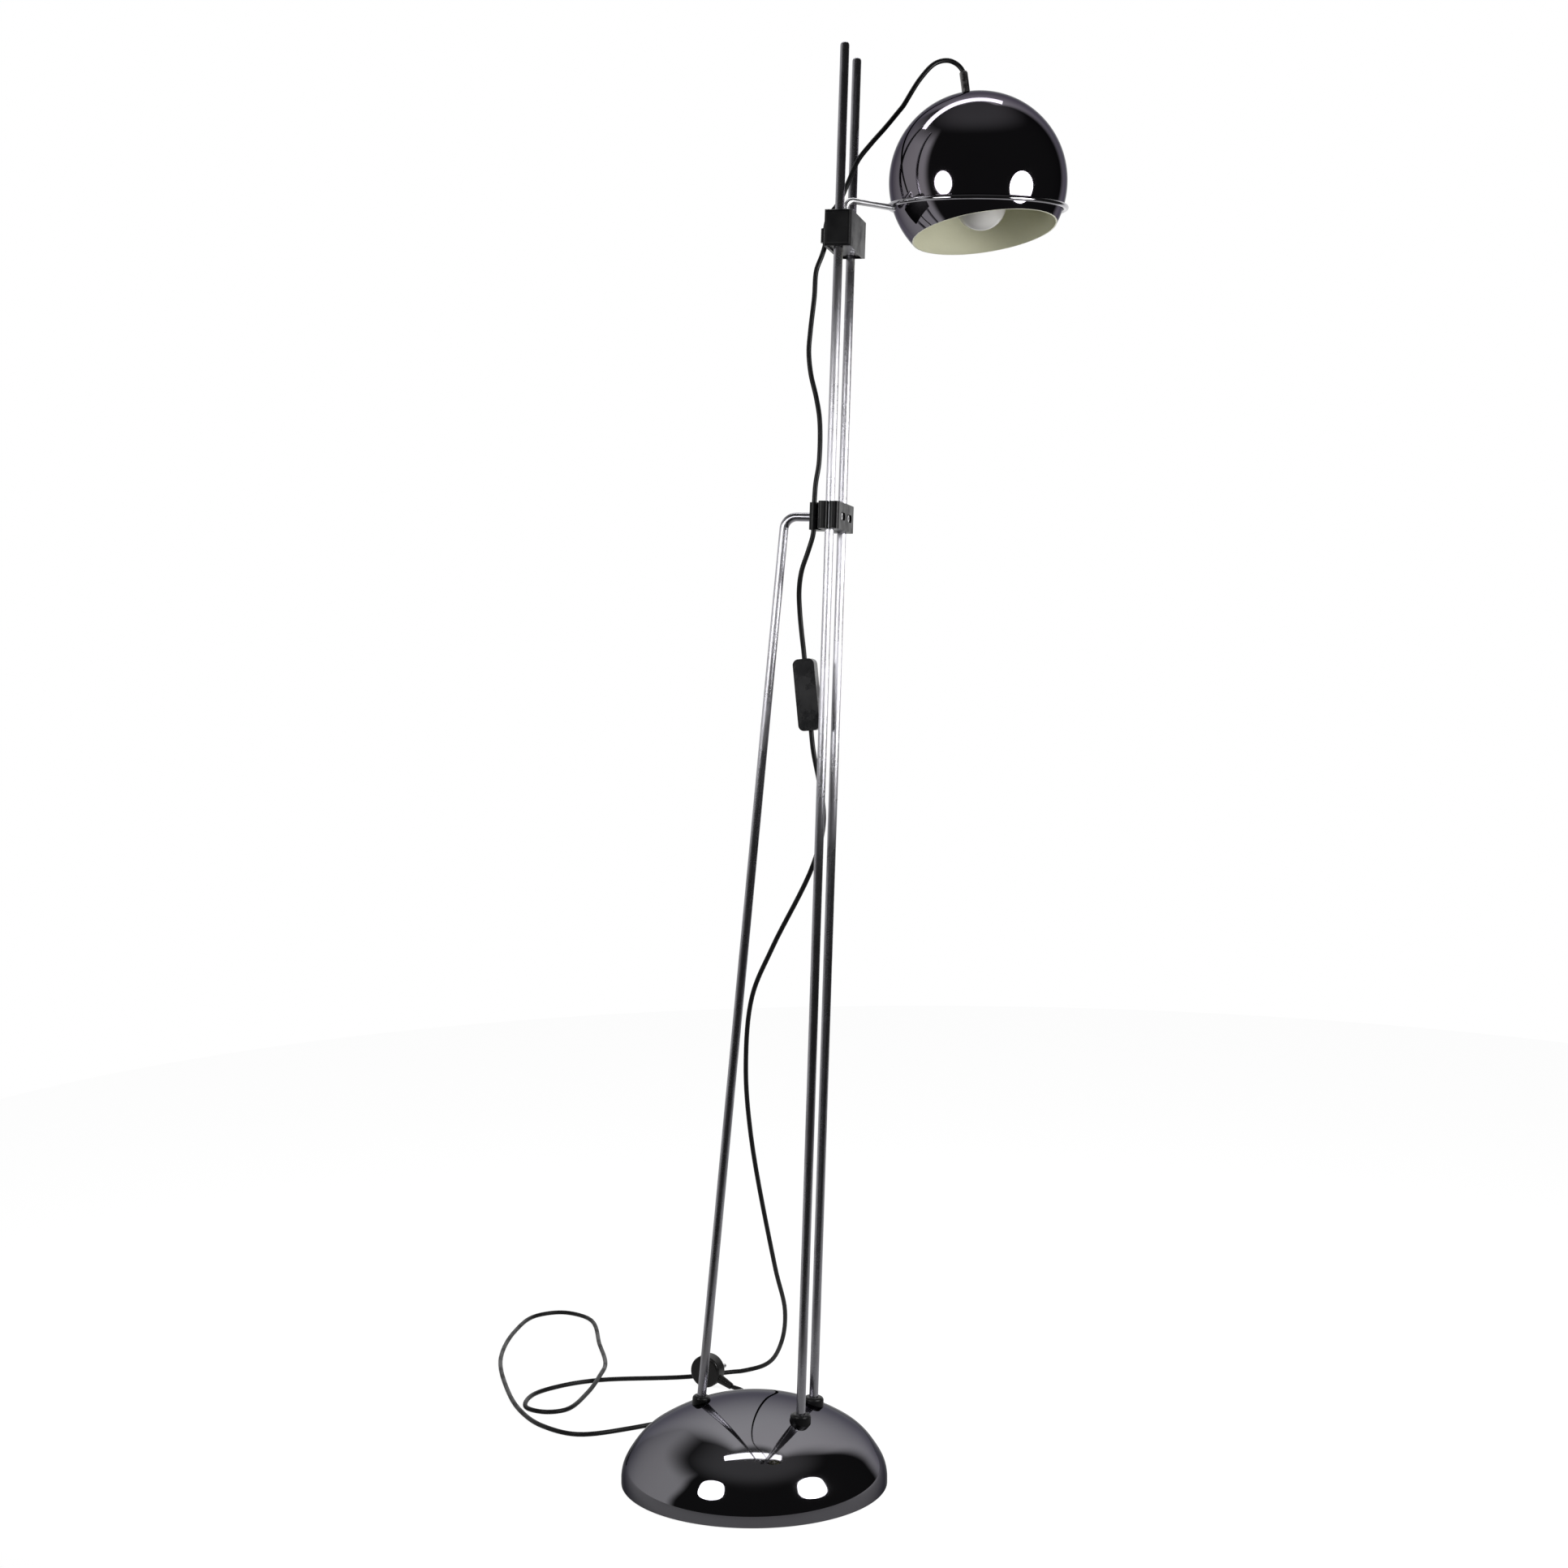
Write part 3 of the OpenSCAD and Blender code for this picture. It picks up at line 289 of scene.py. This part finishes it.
class Finish:
    """A material with one Principled shader, to which effects are added."""

    def __init__(self, name, colour, metallic, roughness, **sockets):
        self.material = bpy.data.materials.new(name)
        self.material.use_nodes = True
        self.tree = self.material.node_tree
        self.shader = self.tree.nodes["Principled BSDF"]
        self.colour = colour
        self.shader.inputs["Base Color"].default_value = (*colour, 1)
        self.shader.inputs["Metallic"].default_value = metallic
        self.shader.inputs["Roughness"].default_value = roughness
        for label, value in sockets.items():
            self.shader.inputs[label.replace("_", " ")].default_value = value
        self.place = self.tree.nodes.new("ShaderNodeTexCoord").outputs["Object"]

    def add(self, group, **values):
        """The output of an effect, with its inputs set."""
        node = self.tree.nodes.new("ShaderNodeGroup")
        node.node_tree = group
        self.tree.links.new(self.place, node.inputs["Place"])
        for label, value in values.items():
            node.inputs[label].default_value = value
        return node.outputs[0]

    def smeared(self, scale, low, high):
        """Roughness that wanders between two levels."""
        self.tree.links.new(self.add(SMEARS, Scale=scale, Low=low, High=high),
                            self.shader.inputs["Roughness"])
        return self

    def patched(self, other, scale, start=0.45, end=0.75):
        """Uneven patches of another colour."""
        mix = self.tree.nodes.new("ShaderNodeMix")
        mix.data_type = "RGBA"
        mix.inputs["A"].default_value = (*self.colour, 1)
        mix.inputs["B"].default_value = (*other, 1)
        mask = self.add(PATCHES, Scale=scale, From=start, To=end)
        self.tree.links.new(mask, mix.inputs["Factor"])
        self.tree.links.new(mix.outputs["Result"], self.shader.inputs["Base Color"])
        return self

    def grained(self, scale, depth):
        """A fine relief, so many metres deep."""
        bump = self.tree.nodes.new("ShaderNodeBump")
        bump.inputs["Strength"].default_value = 1.0
        bump.inputs["Distance"].default_value = depth
        self.tree.links.new(self.add(GRAIN, Scale=scale, Mottle=MOTTLE), bump.inputs["Height"])
        self.tree.links.new(bump.outputs["Normal"], self.shader.inputs["Normal"])
        return self

    def drawn_along(self, axis):
        """Fine marks along a rod, which spread what it mirrors round it and not along it."""
        around = self.tree.nodes.new("ShaderNodeVectorMath")
        around.operation = "CROSS_PRODUCT"
        around.inputs[1].default_value = axis
        normal = self.tree.nodes.new("ShaderNodeNewGeometry").outputs["Normal"]
        self.tree.links.new(normal, around.inputs[0])
        self.tree.links.new(around.outputs["Vector"], self.shader.inputs["Tangent"])
        self.shader.inputs["Anisotropic"].default_value = 1.0
        return self


# ---- Finishes of the lamp: its metals. The chrome of the dome and the globe is painted dark, and darkens at a glancing view, as painted shade for the dark studio that it mirrors ----
PAINTED_DARK_EDGE_TINT = (0.25, 0.25, 0.27, 1)

# Painted shade: the dome's chrome is darker than chrome is, for the dark studio that it mirrors.
dome_chrome_painted_dark = Finish("dome_chrome_painted_dark", (0.240, 0.236, 0.256), 1, 0.04, Specular_Tint=PAINTED_DARK_EDGE_TINT)
dome_chrome_painted_dark.smeared(scale=7, low=0.015, high=0.06).patched((0.225, 0.215, 0.235), scale=9)

# Painted shade: the globe's chrome is darker than chrome is, for the dark studio that it mirrors.
globe_chrome_painted_dark = Finish("globe_chrome_painted_dark", (0.235, 0.222, 0.250), 1, 0.04, Specular_Tint=PAINTED_DARK_EDGE_TINT)
globe_chrome_painted_dark.smeared(scale=9, low=0.015, high=0.07).patched((0.22, 0.20, 0.225), scale=11)

rod_chrome = Finish("rod_chrome", (0.50, 0.495, 0.53), 1, 0.26).drawn_along(MAST_AXIS)
rod_chrome.smeared(scale=16, low=0.25, high=0.33).patched((0.42, 0.41, 0.43), scale=30)

# Painted highlight: the arm's chrome is lighter than chrome is, for the bright sheen along its top.
arm_chrome_painted_bright = Finish("arm_chrome_painted_bright", (0.86, 0.855, 0.88), 1, 0.36)
arm_chrome_painted_bright.smeared(scale=20, low=0.33, high=0.4).patched((0.78, 0.77, 0.79), scale=30)

wire_chrome = Finish("wire_chrome", (0.40, 0.39, 0.42), 1, 0.06)
wire_chrome.smeared(scale=30, low=0.03, high=0.12).patched((0.3, 0.29, 0.3), scale=40)

zinc_steel = Finish("zinc_steel", (0.62, 0.62, 0.64), 1, 0.25)
zinc_steel.smeared(scale=90, low=0.18, high=0.4).patched((0.48, 0.48, 0.48), scale=120)

grip_grey = Finish("grip_grey", (0.26, 0.25, 0.25), 1, 0.35)
grip_grey.smeared(scale=120, low=0.25, high=0.45)

cast_iron = Finish("cast_iron", (0.05, 0.05, 0.052), 0.6, 0.7)
cast_iron.patched((0.09, 0.075, 0.065), scale=30).grained(scale=240, depth=0.0003)

cap_metal = Finish("cap_metal", (0.7, 0.69, 0.66), 1, 0.3)
cap_metal.smeared(scale=80, low=0.22, high=0.45).patched((0.55, 0.53, 0.5), scale=90)

brass = Finish("brass", (0.7, 0.52, 0.24), 1, 0.25)
brass.smeared(scale=80, low=0.2, high=0.4).patched((0.5, 0.36, 0.18), scale=90)

# ---- Its black plastics and rubbers ----
black_moulding = Finish("black_moulding", (0.003, 0.003, 0.0035), 0, 0.4, Specular_IOR_Level=0.2)
black_moulding.smeared(scale=40, low=0.32, high=0.46).grained(scale=1400, depth=0.00003)
black_moulding.patched((0.009, 0.009, 0.009), scale=60, start=0.5, end=0.9)

black_rubber = Finish("black_rubber", (0.004, 0.004, 0.0045), 0, 0.45, Specular_IOR_Level=0.25)
black_rubber.smeared(scale=60, low=0.36, high=0.55).grained(scale=1000, depth=0.00003)
black_rubber.patched((0.010, 0.010, 0.010), scale=80, start=0.55, end=0.9)

cord_sheath = Finish("cord_sheath", (0.004, 0.004, 0.0045), 0, 0.45, Specular_IOR_Level=0.25)
cord_sheath.smeared(scale=50, low=0.36, high=0.55).grained(scale=1500, depth=0.00002)
cord_sheath.patched((0.009, 0.009, 0.0095), scale=70, start=0.5, end=0.9)

switch_black = Finish("switch_black", (0.004, 0.004, 0.005), 0, 0.3, Specular_IOR_Level=0.35)
switch_black.smeared(scale=45, low=0.22, high=0.42).grained(scale=1800, depth=0.00001)
switch_black.patched((0.009, 0.009, 0.010), scale=60, start=0.5, end=0.9)

plug_black = Finish("plug_black", (0.005, 0.0045, 0.0045), 0, 0.4, Specular_IOR_Level=0.3)
plug_black.smeared(scale=45, low=0.3, high=0.5).grained(scale=1200, depth=0.00002)
plug_black.patched((0.012, 0.011, 0.010), scale=60, start=0.5, end=0.9)

# ---- Its paint, glass and other stuffs ----
cream_enamel = Finish("cream_enamel", (0.72, 0.715, 0.555), 0, 0.35, Coat_Weight=0.2)
cream_enamel.patched((0.66, 0.65, 0.49), scale=18).grained(scale=260, depth=0.00005)

felt = Finish("felt", (0.02, 0.02, 0.021), 0, 0.95, Sheen_Weight=0.3)
felt.patched((0.035, 0.035, 0.035), scale=40).grained(scale=700, depth=0.0003)

white_nylon = Finish("white_nylon", (0.78, 0.77, 0.72), 0, 0.4)
white_nylon.smeared(scale=60, low=0.32, high=0.5).patched((0.7, 0.69, 0.62), scale=50)

porcelain = Finish("porcelain", (0.82, 0.81, 0.77), 0, 0.15, Coat_Weight=0.4)
porcelain.patched((0.76, 0.75, 0.7), scale=40)

# Painted shade: the bulb's opal glass is painted grey for the shade of the globe round it.
opal_glass_painted_shade = Finish("opal_glass_painted_shade", (0.49, 0.48, 0.465), 0, 0.22, Coat_Weight=0.3)
opal_glass_painted_shade.smeared(scale=40, low=0.16, high=0.3).patched((0.45, 0.44, 0.42), scale=25)


def finish_with(made, *finishes):
    """Gives a piece or a node its finishes, in the order of its material slots."""
    made.data.materials.clear()
    for finish in finishes:
        made.data.materials.append(finish.material)


# ---- Camera ----
def make_camera():
    lens = bpy.data.cameras.new("camera")
    lens.lens = LENS
    lens.sensor_width = SENSOR_W
    lens.shift_y = HORIZON_SHIFT
    camera = bpy.data.objects.new("camera", lens)
    camera.location = Vector(EYE) * MM
    camera.rotation_euler = (math.radians(90), 0, math.radians(VIEW_TURN))
    bpy.context.scene.collection.objects.link(camera)
    bpy.context.scene.camera = camera


def make_cord(name, route, node):
    """A stretch of cord along its route, and the smooth line that it follows."""
    line = smooth(route)
    made = piece(name, *tube(line, CORD_D / 2), None, "cord_sheath")
    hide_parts(node)
    finish_with(made, cord_sheath)
    return made, line


def make_held_cords():
    """The stretches from the globe to the clamp, each across one joint, drawn fixed where they lie."""
    for name, route, node, first, last in (
            ("shade_lead", TOP_ROUTE, "cord_top", "globe", "arm"),
            ("arm_lead", BACK_ROUTE, "cord_back", "arm", "slider"),
            ("mast_lead", MIDDLE_ROUTE, "cord_middle", "slider", "stand")):
        made, line = make_cord(name, route, node)
        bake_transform(made)


def make_free_cords():
    """The stretch that hangs from the clamp to the switch, and the one on to the plug."""
    upper, line = make_cord("upper_flex", HANG_ROUTE, "cord_hang")
    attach(upper, "stand")
    lower, line = make_cord("lower_flex", FLOOR_ROUTE, "cord_floor")
    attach(lower, "stand")


# ---- Base ----
def dome_profile(inset, low):
    """The two arcs of the dome, from the crown out to a height above the floor."""
    one_arc = (BASE_D ** 2 / 4 + BASE_H ** 2) / (2 * BASE_H)
    crown_r = one_arc + CROWN_FLAT
    crown = (0, BASE_H - crown_r)
    rim = (BASE_D / 2, 0)
    reach, near = crown_r - SHOULDER_R, SHOULDER_R
    across = Vector(rim) - Vector(crown)
    far = across.length
    along = (reach ** 2 - near ** 2 + far ** 2) / (2 * far)
    aside = math.sqrt(reach ** 2 - along ** 2)
    way = across.normalized()
    shoulder = Vector(crown) + along * way + aside * Vector((-way.y, way.x))
    joint = math.degrees(math.atan2(shoulder.x - crown[0], shoulder.y - crown[1]))
    end = math.degrees(math.acos((low - shoulder.y) / (SHOULDER_R - inset)))
    profile = arc(crown, crown_r - inset, 0, joint, count=40)
    profile += arc(shoulder, SHOULDER_R - inset, joint, end, count=24)[1:]
    return [upright(*place) for place in profile] + [(profile[-1][0], low)]


def upright(radius, height):
    """A point of the dome's arc, raised near the rim so that the dome stands more upright there."""
    t = min(height / LIP_FADE, 1)
    return radius, height + LIP_LIFT * (1 - t) ** 2 * (1 + 2 * t)


def make_dome():
    """The spun shell, with its outer side, its rim and its inner side."""
    profile = dome_profile(0, RIM_LIFT) + dome_profile(SHELL_T, RIM_LIFT)[::-1]
    dome = piece("dome", *lathe(profile, steps=240, closed=False), "stand", "bright_chrome")
    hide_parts("base_shell")
    finish_with(dome, dome_chrome_painted_dark)


# ---- Rods ----
def rod_piece(name, points, faces, place, node):
    """A chromed rod of the stand, in place of its node."""
    rod = piece(name, points, faces, "stand", "bright_chrome", place)
    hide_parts(node)
    finish_with(rod, rod_chrome)


def make_mast_rod(name, side, node):
    """A straight rod with a thread at its foot and a rounded top, on one side of the mast."""
    radius = ROD_D / 2
    cap = radius - ROD_EDGE
    top = arc((radius - cap, MAST_LEN - cap), cap, 90, 0, count=8)
    profile = [(0, THREAD_END), (THREAD_D / 2, THREAD_END), (THREAD_D / 2, ROD_FROM),
               (radius, ROD_FROM)] + top + [(0, MAST_LEN)]
    foot = at(MAST_FOOT, side * MAST_GAP / 2, 0) @ turn("Y", MAST_LEAN)
    rod_piece(name, *lathe(profile, steps=48, closed=False), foot, node)


def make_strut():
    """The strut, which leans to the mast and bends at its top into the clamp's socket."""
    bend = 90 + MAST_LEAN - STRUT_LEAN
    skew = math.radians(STRUT_LEAN - MAST_LEAN)
    bend_x = STRUT_BEND * (1 - math.cos(math.radians(bend)))
    bend_z = STRUT_BEND * math.sin(math.radians(bend))
    feet = MAST_FOOT + STRUT_FOOT
    lean = math.radians(MAST_LEAN)
    straight = (feet * math.sin(lean) + CLAMP_AT + bend_x * math.sin(skew)) / math.cos(skew)
    straight -= bend_z
    out = (feet * math.cos(lean) - bend_x * math.cos(skew)
           - (straight + bend_z) * math.sin(skew) - SOCKET_END)
    line = [Vector((0, 0, ROD_FROM)), Vector((0, 0, straight / 2))]
    for i in range(BEND_STEPS + 1):
        a = math.radians(bend * i / BEND_STEPS)
        line.append(Vector((STRUT_BEND * (1 - math.cos(a)), 0, straight + STRUT_BEND * math.sin(a))))
    line.append(line[-1] + out * Vector((math.sin(a), 0, math.cos(a))))
    points, faces = tube(line, ROD_D / 2, sides=40)
    stud, stud_faces = lathe([(0, THREAD_END), (THREAD_D / 2, THREAD_END),
                              (THREAD_D / 2, ROD_FROM), (0, ROD_FROM)], steps=32, closed=False)
    faces += [[i + len(points) for i in face] for face in stud_faces]
    place = at(-STRUT_FOOT, 0, 0) @ turn("Y", STRUT_LEAN)
    rod_piece("strut", points + stud, faces, place, "strut_rod")


# ---- Shade ----
def make_globe():
    """The thin globe, cut open at its mouth and round its nipple, chromed outside and cream inside."""
    radius = GLOBE_D / 2
    mouth = math.degrees(math.acos(-MOUTH_DOWN / radius))
    inner_mouth = math.degrees(math.acos(-MOUTH_DOWN / (radius - GLOBE_T)))
    outer = arc((0, 0), radius, HOLE_ANGLE, mouth, count=72)
    inner = arc((0, 0), radius - GLOBE_T, inner_mouth, HOLE_ANGLE, count=72)
    points, faces = lathe(outer + inner, steps=192)
    globe = piece("globe", points, [f[::-1] for f in faces], "globe", "shade_chrome", GLOBE)
    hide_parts("globe_shade")
    finish_with(globe, globe_chrome_painted_dark, cream_enamel)
    centre = GLOBE @ Vector((0, 0, 0)) * MM
    limit = (radius - GLOBE_T / 2) * MM
    for face in globe.data.polygons:
        if (face.center - centre).length < limit:
            face.material_index = 1


def make_ring():
    """The wire ring, just wide enough for the globe to rest in above its widest part."""
    wire_r, sides = RING_WIRE / 2, 20
    reach = math.sqrt((GLOBE_D / 2 + wire_r + RING_CLEAR) ** 2 - GLOBE_DROP ** 2)
    section = [(reach + wire_r * math.cos(a), wire_r * math.sin(a))
               for a in (2 * math.pi * i / sides for i in range(sides))]
    ring = piece("ring", *lathe(section, steps=200), "arm", "bright_chrome", RING, sharp=180)
    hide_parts("shade_ring")
    finish_with(ring, wire_chrome)


# ---- Finishes of the pieces that keep their solid's shape ----
KEPT = {
    arm_chrome_painted_bright: ["shade_arm"],
    black_rubber: ["ferrule_front", "ferrule_rear", "ferrule_strut"],
    black_moulding: ["clamp_inner_jaw", "clamp_outer_jaw", "slider_housing", "slider_cover",
                     "holder_cap", "holder_shell"],
    zinc_steel: ["clamp_screws", "clamp_nuts", "cover_screws", "rod_nuts", "rod_washers",
                 "nipple_tube", "nipple_nuts", "arm_clip", "shoe_spring", "plug_pins"],
    cast_iron: ["base_weight"],
    felt: ["base_pad"],
    white_nylon: ["friction_shoes"],
    porcelain: ["holder_core"],
    grip_grey: ["cord_grip"],
    opal_glass_painted_shade: ["bulb_glass"],
    cap_metal: ["bulb_cap"],
    switch_black: ["switch_front", "switch_rear", "switch_rocker", "switch_screws", "arm_bush"],
    plug_black: ["plug_body"],
    brass: ["switch_contacts"],
}


def dress_kept_nodes():
    for finish, names in KEPT.items():
        for name in names:
            finish_with(nodes[name], finish)


# ---- Stage and light, in metres ----
FLOOR_R, FLOOR_BACK = 2.0, 1.55
FLOOR_COLOUR, FLOOR_SEEN = 0.25, 0.9
AWAY = Matrix.Rotation(math.radians(VIEW_TURN), 3, "Z") @ Vector((0, 1, 0))
RIGHT = Matrix.Rotation(math.radians(VIEW_TURN), 3, "Z") @ Vector((1, 0, 0))
BACKDROP_WAY = Matrix.Rotation(math.radians(-8), 3, "Z") @ AWAY
WALL_GLOW, CEILING_GLOW, DARK_GLOW, SOFT_GLOW = 0.62, 0.13, 0.018, 0.28
BACKDROP_LOW_GLOW, BACKDROP_HIGH_GLOW = 1.0, 0.88

# Distances on the floor over which its mirrored glow changes, and the glow at each end.
FLOOR_AWAY, FLOOR_AWAY_GLOW = (-0.3, 0.4), (0.03, 0.45)
FLOOR_RIGHT, FLOOR_RIGHT_GLOW = (-0.9, -0.3), (0.5, 0.03)

# Spans of a direction's share along a way over which a mirrored thing starts or ends.
BACKDROP_SIDE, BACKDROP_DIMS, BACKDROP_ENDS = (0.68, 0.88), (0.1, 0.5), (0.935, 0.97)
WALL_SIDE, WALL_BEHIND, WALL_ENDS = (-0.35, -0.15), (-0.5, -0.3), (0.55, 0.85)
CEILING_STARTS = (0.75, 0.98)
LEAST_LEVEL = 0.001


class Sums:
    """Short names for the arithmetic of a node tree."""

    def __init__(self, tree):
        self.tree = tree

    def math(self, operation, *values):
        """The result of an operation on numbers or sockets."""
        node = self.tree.nodes.new("ShaderNodeMath")
        node.operation = operation
        for socket, value in zip(node.inputs, values):
            if isinstance(value, (int, float)):
                socket.default_value = value
            else:
                self.tree.links.new(value, socket)
        return node.outputs["Value"]

    def along(self, vector, way):
        """How far a vector goes along a way."""
        node = self.tree.nodes.new("ShaderNodeVectorMath")
        node.operation = "DOT_PRODUCT"
        node.inputs[1].default_value = way
        self.tree.links.new(vector, node.inputs[0])
        return node.outputs["Value"]

    def ramp(self, value, span, low=0.0, high=1.0):
        """A smooth change from low to high while a value crosses a span."""
        node = self.tree.nodes.new("ShaderNodeMapRange")
        node.interpolation_type = "SMOOTHSTEP"
        self.tree.links.new(value, node.inputs["Value"])
        node.inputs["From Min"].default_value = span[0]
        node.inputs["From Max"].default_value = span[1]
        node.inputs["To Min"].default_value = low
        node.inputs["To Max"].default_value = high
        return node.outputs["Result"]

    def mirrored(self):
        """1 for rays from a mirror or from glass."""
        path = self.tree.nodes.new("ShaderNodeLightPath").outputs
        return self.math("MAXIMUM", path["Is Glossy Ray"], path["Is Transmission Ray"])

    def seen(self):
        """1 for rays from the camera."""
        return self.tree.nodes.new("ShaderNodeLightPath").outputs["Is Camera Ray"]


def make_floor():
    """A pale disc that the camera sees as white, and that the chrome mirrors as dark in front."""
    points, faces = lathe([(0, 0), (FLOOR_R / MM, 0)], steps=96, closed=False)
    floor = piece("floor", points, faces, None, "floor", at(0, FLOOR_BACK / MM, 0))
    material = bpy.data.materials.new("floor")
    material.use_nodes = True
    tree = material.node_tree
    shader = tree.nodes["Principled BSDF"]
    shader.inputs["Base Color"].default_value = (*[FLOOR_COLOUR] * 3, 1)
    shader.inputs["Roughness"].default_value = 1
    shader.inputs["Specular IOR Level"].default_value = 0
    shader.inputs["Emission Color"].default_value = (1, 1, 1, 1)
    sums = Sums(tree)
    where = tree.nodes.new("ShaderNodeTexCoord").outputs["Object"]
    lit = sums.math("MAXIMUM", sums.ramp(sums.along(where, AWAY), FLOOR_AWAY, *FLOOR_AWAY_GLOW),
                    sums.ramp(sums.along(where, RIGHT), FLOOR_RIGHT, *FLOOR_RIGHT_GLOW))
    glow = sums.math("ADD", sums.math("MULTIPLY", sums.mirrored(), lit),
                     sums.math("MULTIPLY", sums.seen(), FLOOR_SEEN))
    tree.links.new(glow, shader.inputs["Emission Strength"])
    floor.data.materials.append(material)


def make_world():
    """What the chrome mirrors: a white backdrop, a grey wall on the left, a faint ceiling,
    and a dark studio elsewhere. The camera itself sees plain white."""
    world = bpy.data.worlds.new("studio")
    bpy.context.scene.world = world
    world.use_nodes = True
    tree = world.node_tree
    sky = tree.nodes["Background"]
    sums = Sums(tree)
    where = tree.nodes.new("ShaderNodeTexCoord").outputs["Generated"]
    away = sums.along(where, BACKDROP_WAY)
    right = sums.along(where, RIGHT)
    up = sums.along(where, (0, 0, 1))
    level = sums.math("SQRT", sums.math("SUBTRACT", 1, sums.math("MULTIPLY", up, up)))
    facing = sums.math("DIVIDE", away, sums.math("MAXIMUM", level, LEAST_LEVEL))
    backdrop = sums.math("MULTIPLY", sums.ramp(facing, BACKDROP_SIDE),
                         sums.ramp(up, BACKDROP_DIMS, BACKDROP_LOW_GLOW, BACKDROP_HIGH_GLOW))
    backdrop = sums.math("MULTIPLY", backdrop, sums.ramp(up, BACKDROP_ENDS, 1, 0))
    wall = sums.math("MULTIPLY", sums.ramp(right, WALL_SIDE, 1, 0), sums.ramp(facing, WALL_BEHIND))
    wall = sums.math("MULTIPLY", wall, sums.ramp(up, WALL_ENDS, WALL_GLOW, 0))
    ceiling = sums.ramp(up, CEILING_STARTS, DARK_GLOW, CEILING_GLOW)
    studio = sums.math("MAXIMUM", sums.math("MAXIMUM", wall, backdrop), ceiling)
    soft = sums.math("SUBTRACT", 1, sums.math("MAXIMUM", sums.mirrored(), sums.seen()))
    strength = sums.math("ADD", sums.math("MULTIPLY", soft, SOFT_GLOW), sums.seen())
    strength = sums.math("ADD", strength, sums.math("MULTIPLY", sums.mirrored(), studio))
    tree.links.new(strength, sky.inputs["Strength"])
    sky.inputs["Color"].default_value = (1, 1, 1, 1)


def area_light(name, place, way, shape, width, height, glow):
    """A lamp that shines back along a way, with the same glow over the whole of its face."""
    light = bpy.data.lights.new(name, "AREA")
    light.shape = shape
    light.size = width
    light.size_y = height
    area = width * height * (math.pi / 4 if shape == "ELLIPSE" else 1)
    light.energy = glow * area * math.pi
    made = bpy.data.objects.new(name, light)
    made.location = place
    made.rotation_euler = Vector(way).to_track_quat("Z", "Y").to_euler()
    made.visible_camera = False
    bpy.context.scene.collection.objects.link(made)
    return made


def make_lights():
    """A tall soft box on each side in front, and a strip over the lamp."""
    area_light("left_box", (-0.56, -1.02, 1.07), way=(-0.68, -1.02, 0.2), shape="ELLIPSE",
               width=0.55, height=0.68, glow=7)
    area_light("right_box", (1.20, -0.37, 1.01), way=(1.10, -0.35, 0.2), shape="ELLIPSE",
               width=0.64, height=0.74, glow=12)
    strip = area_light("over_strip", (-0.11, 0.30, 2.2), way=(0, 0, 1), shape="RECTANGLE",
                       width=1.08, height=0.17, glow=6)
    strip.rotation_euler = (0, 0, math.radians(VIEW_TURN))


make_camera()
make_held_cords()
make_free_cords()
make_dome()
make_mast_rod("mast_front", -1, "mast_rod_front")
make_mast_rod("mast_rear", 1, "mast_rod_rear")
make_strut()
make_globe()
make_ring()
dress_kept_nodes()
make_floor()
make_world()
make_lights()
bpy.context.scene.view_settings.view_transform = "Standard"
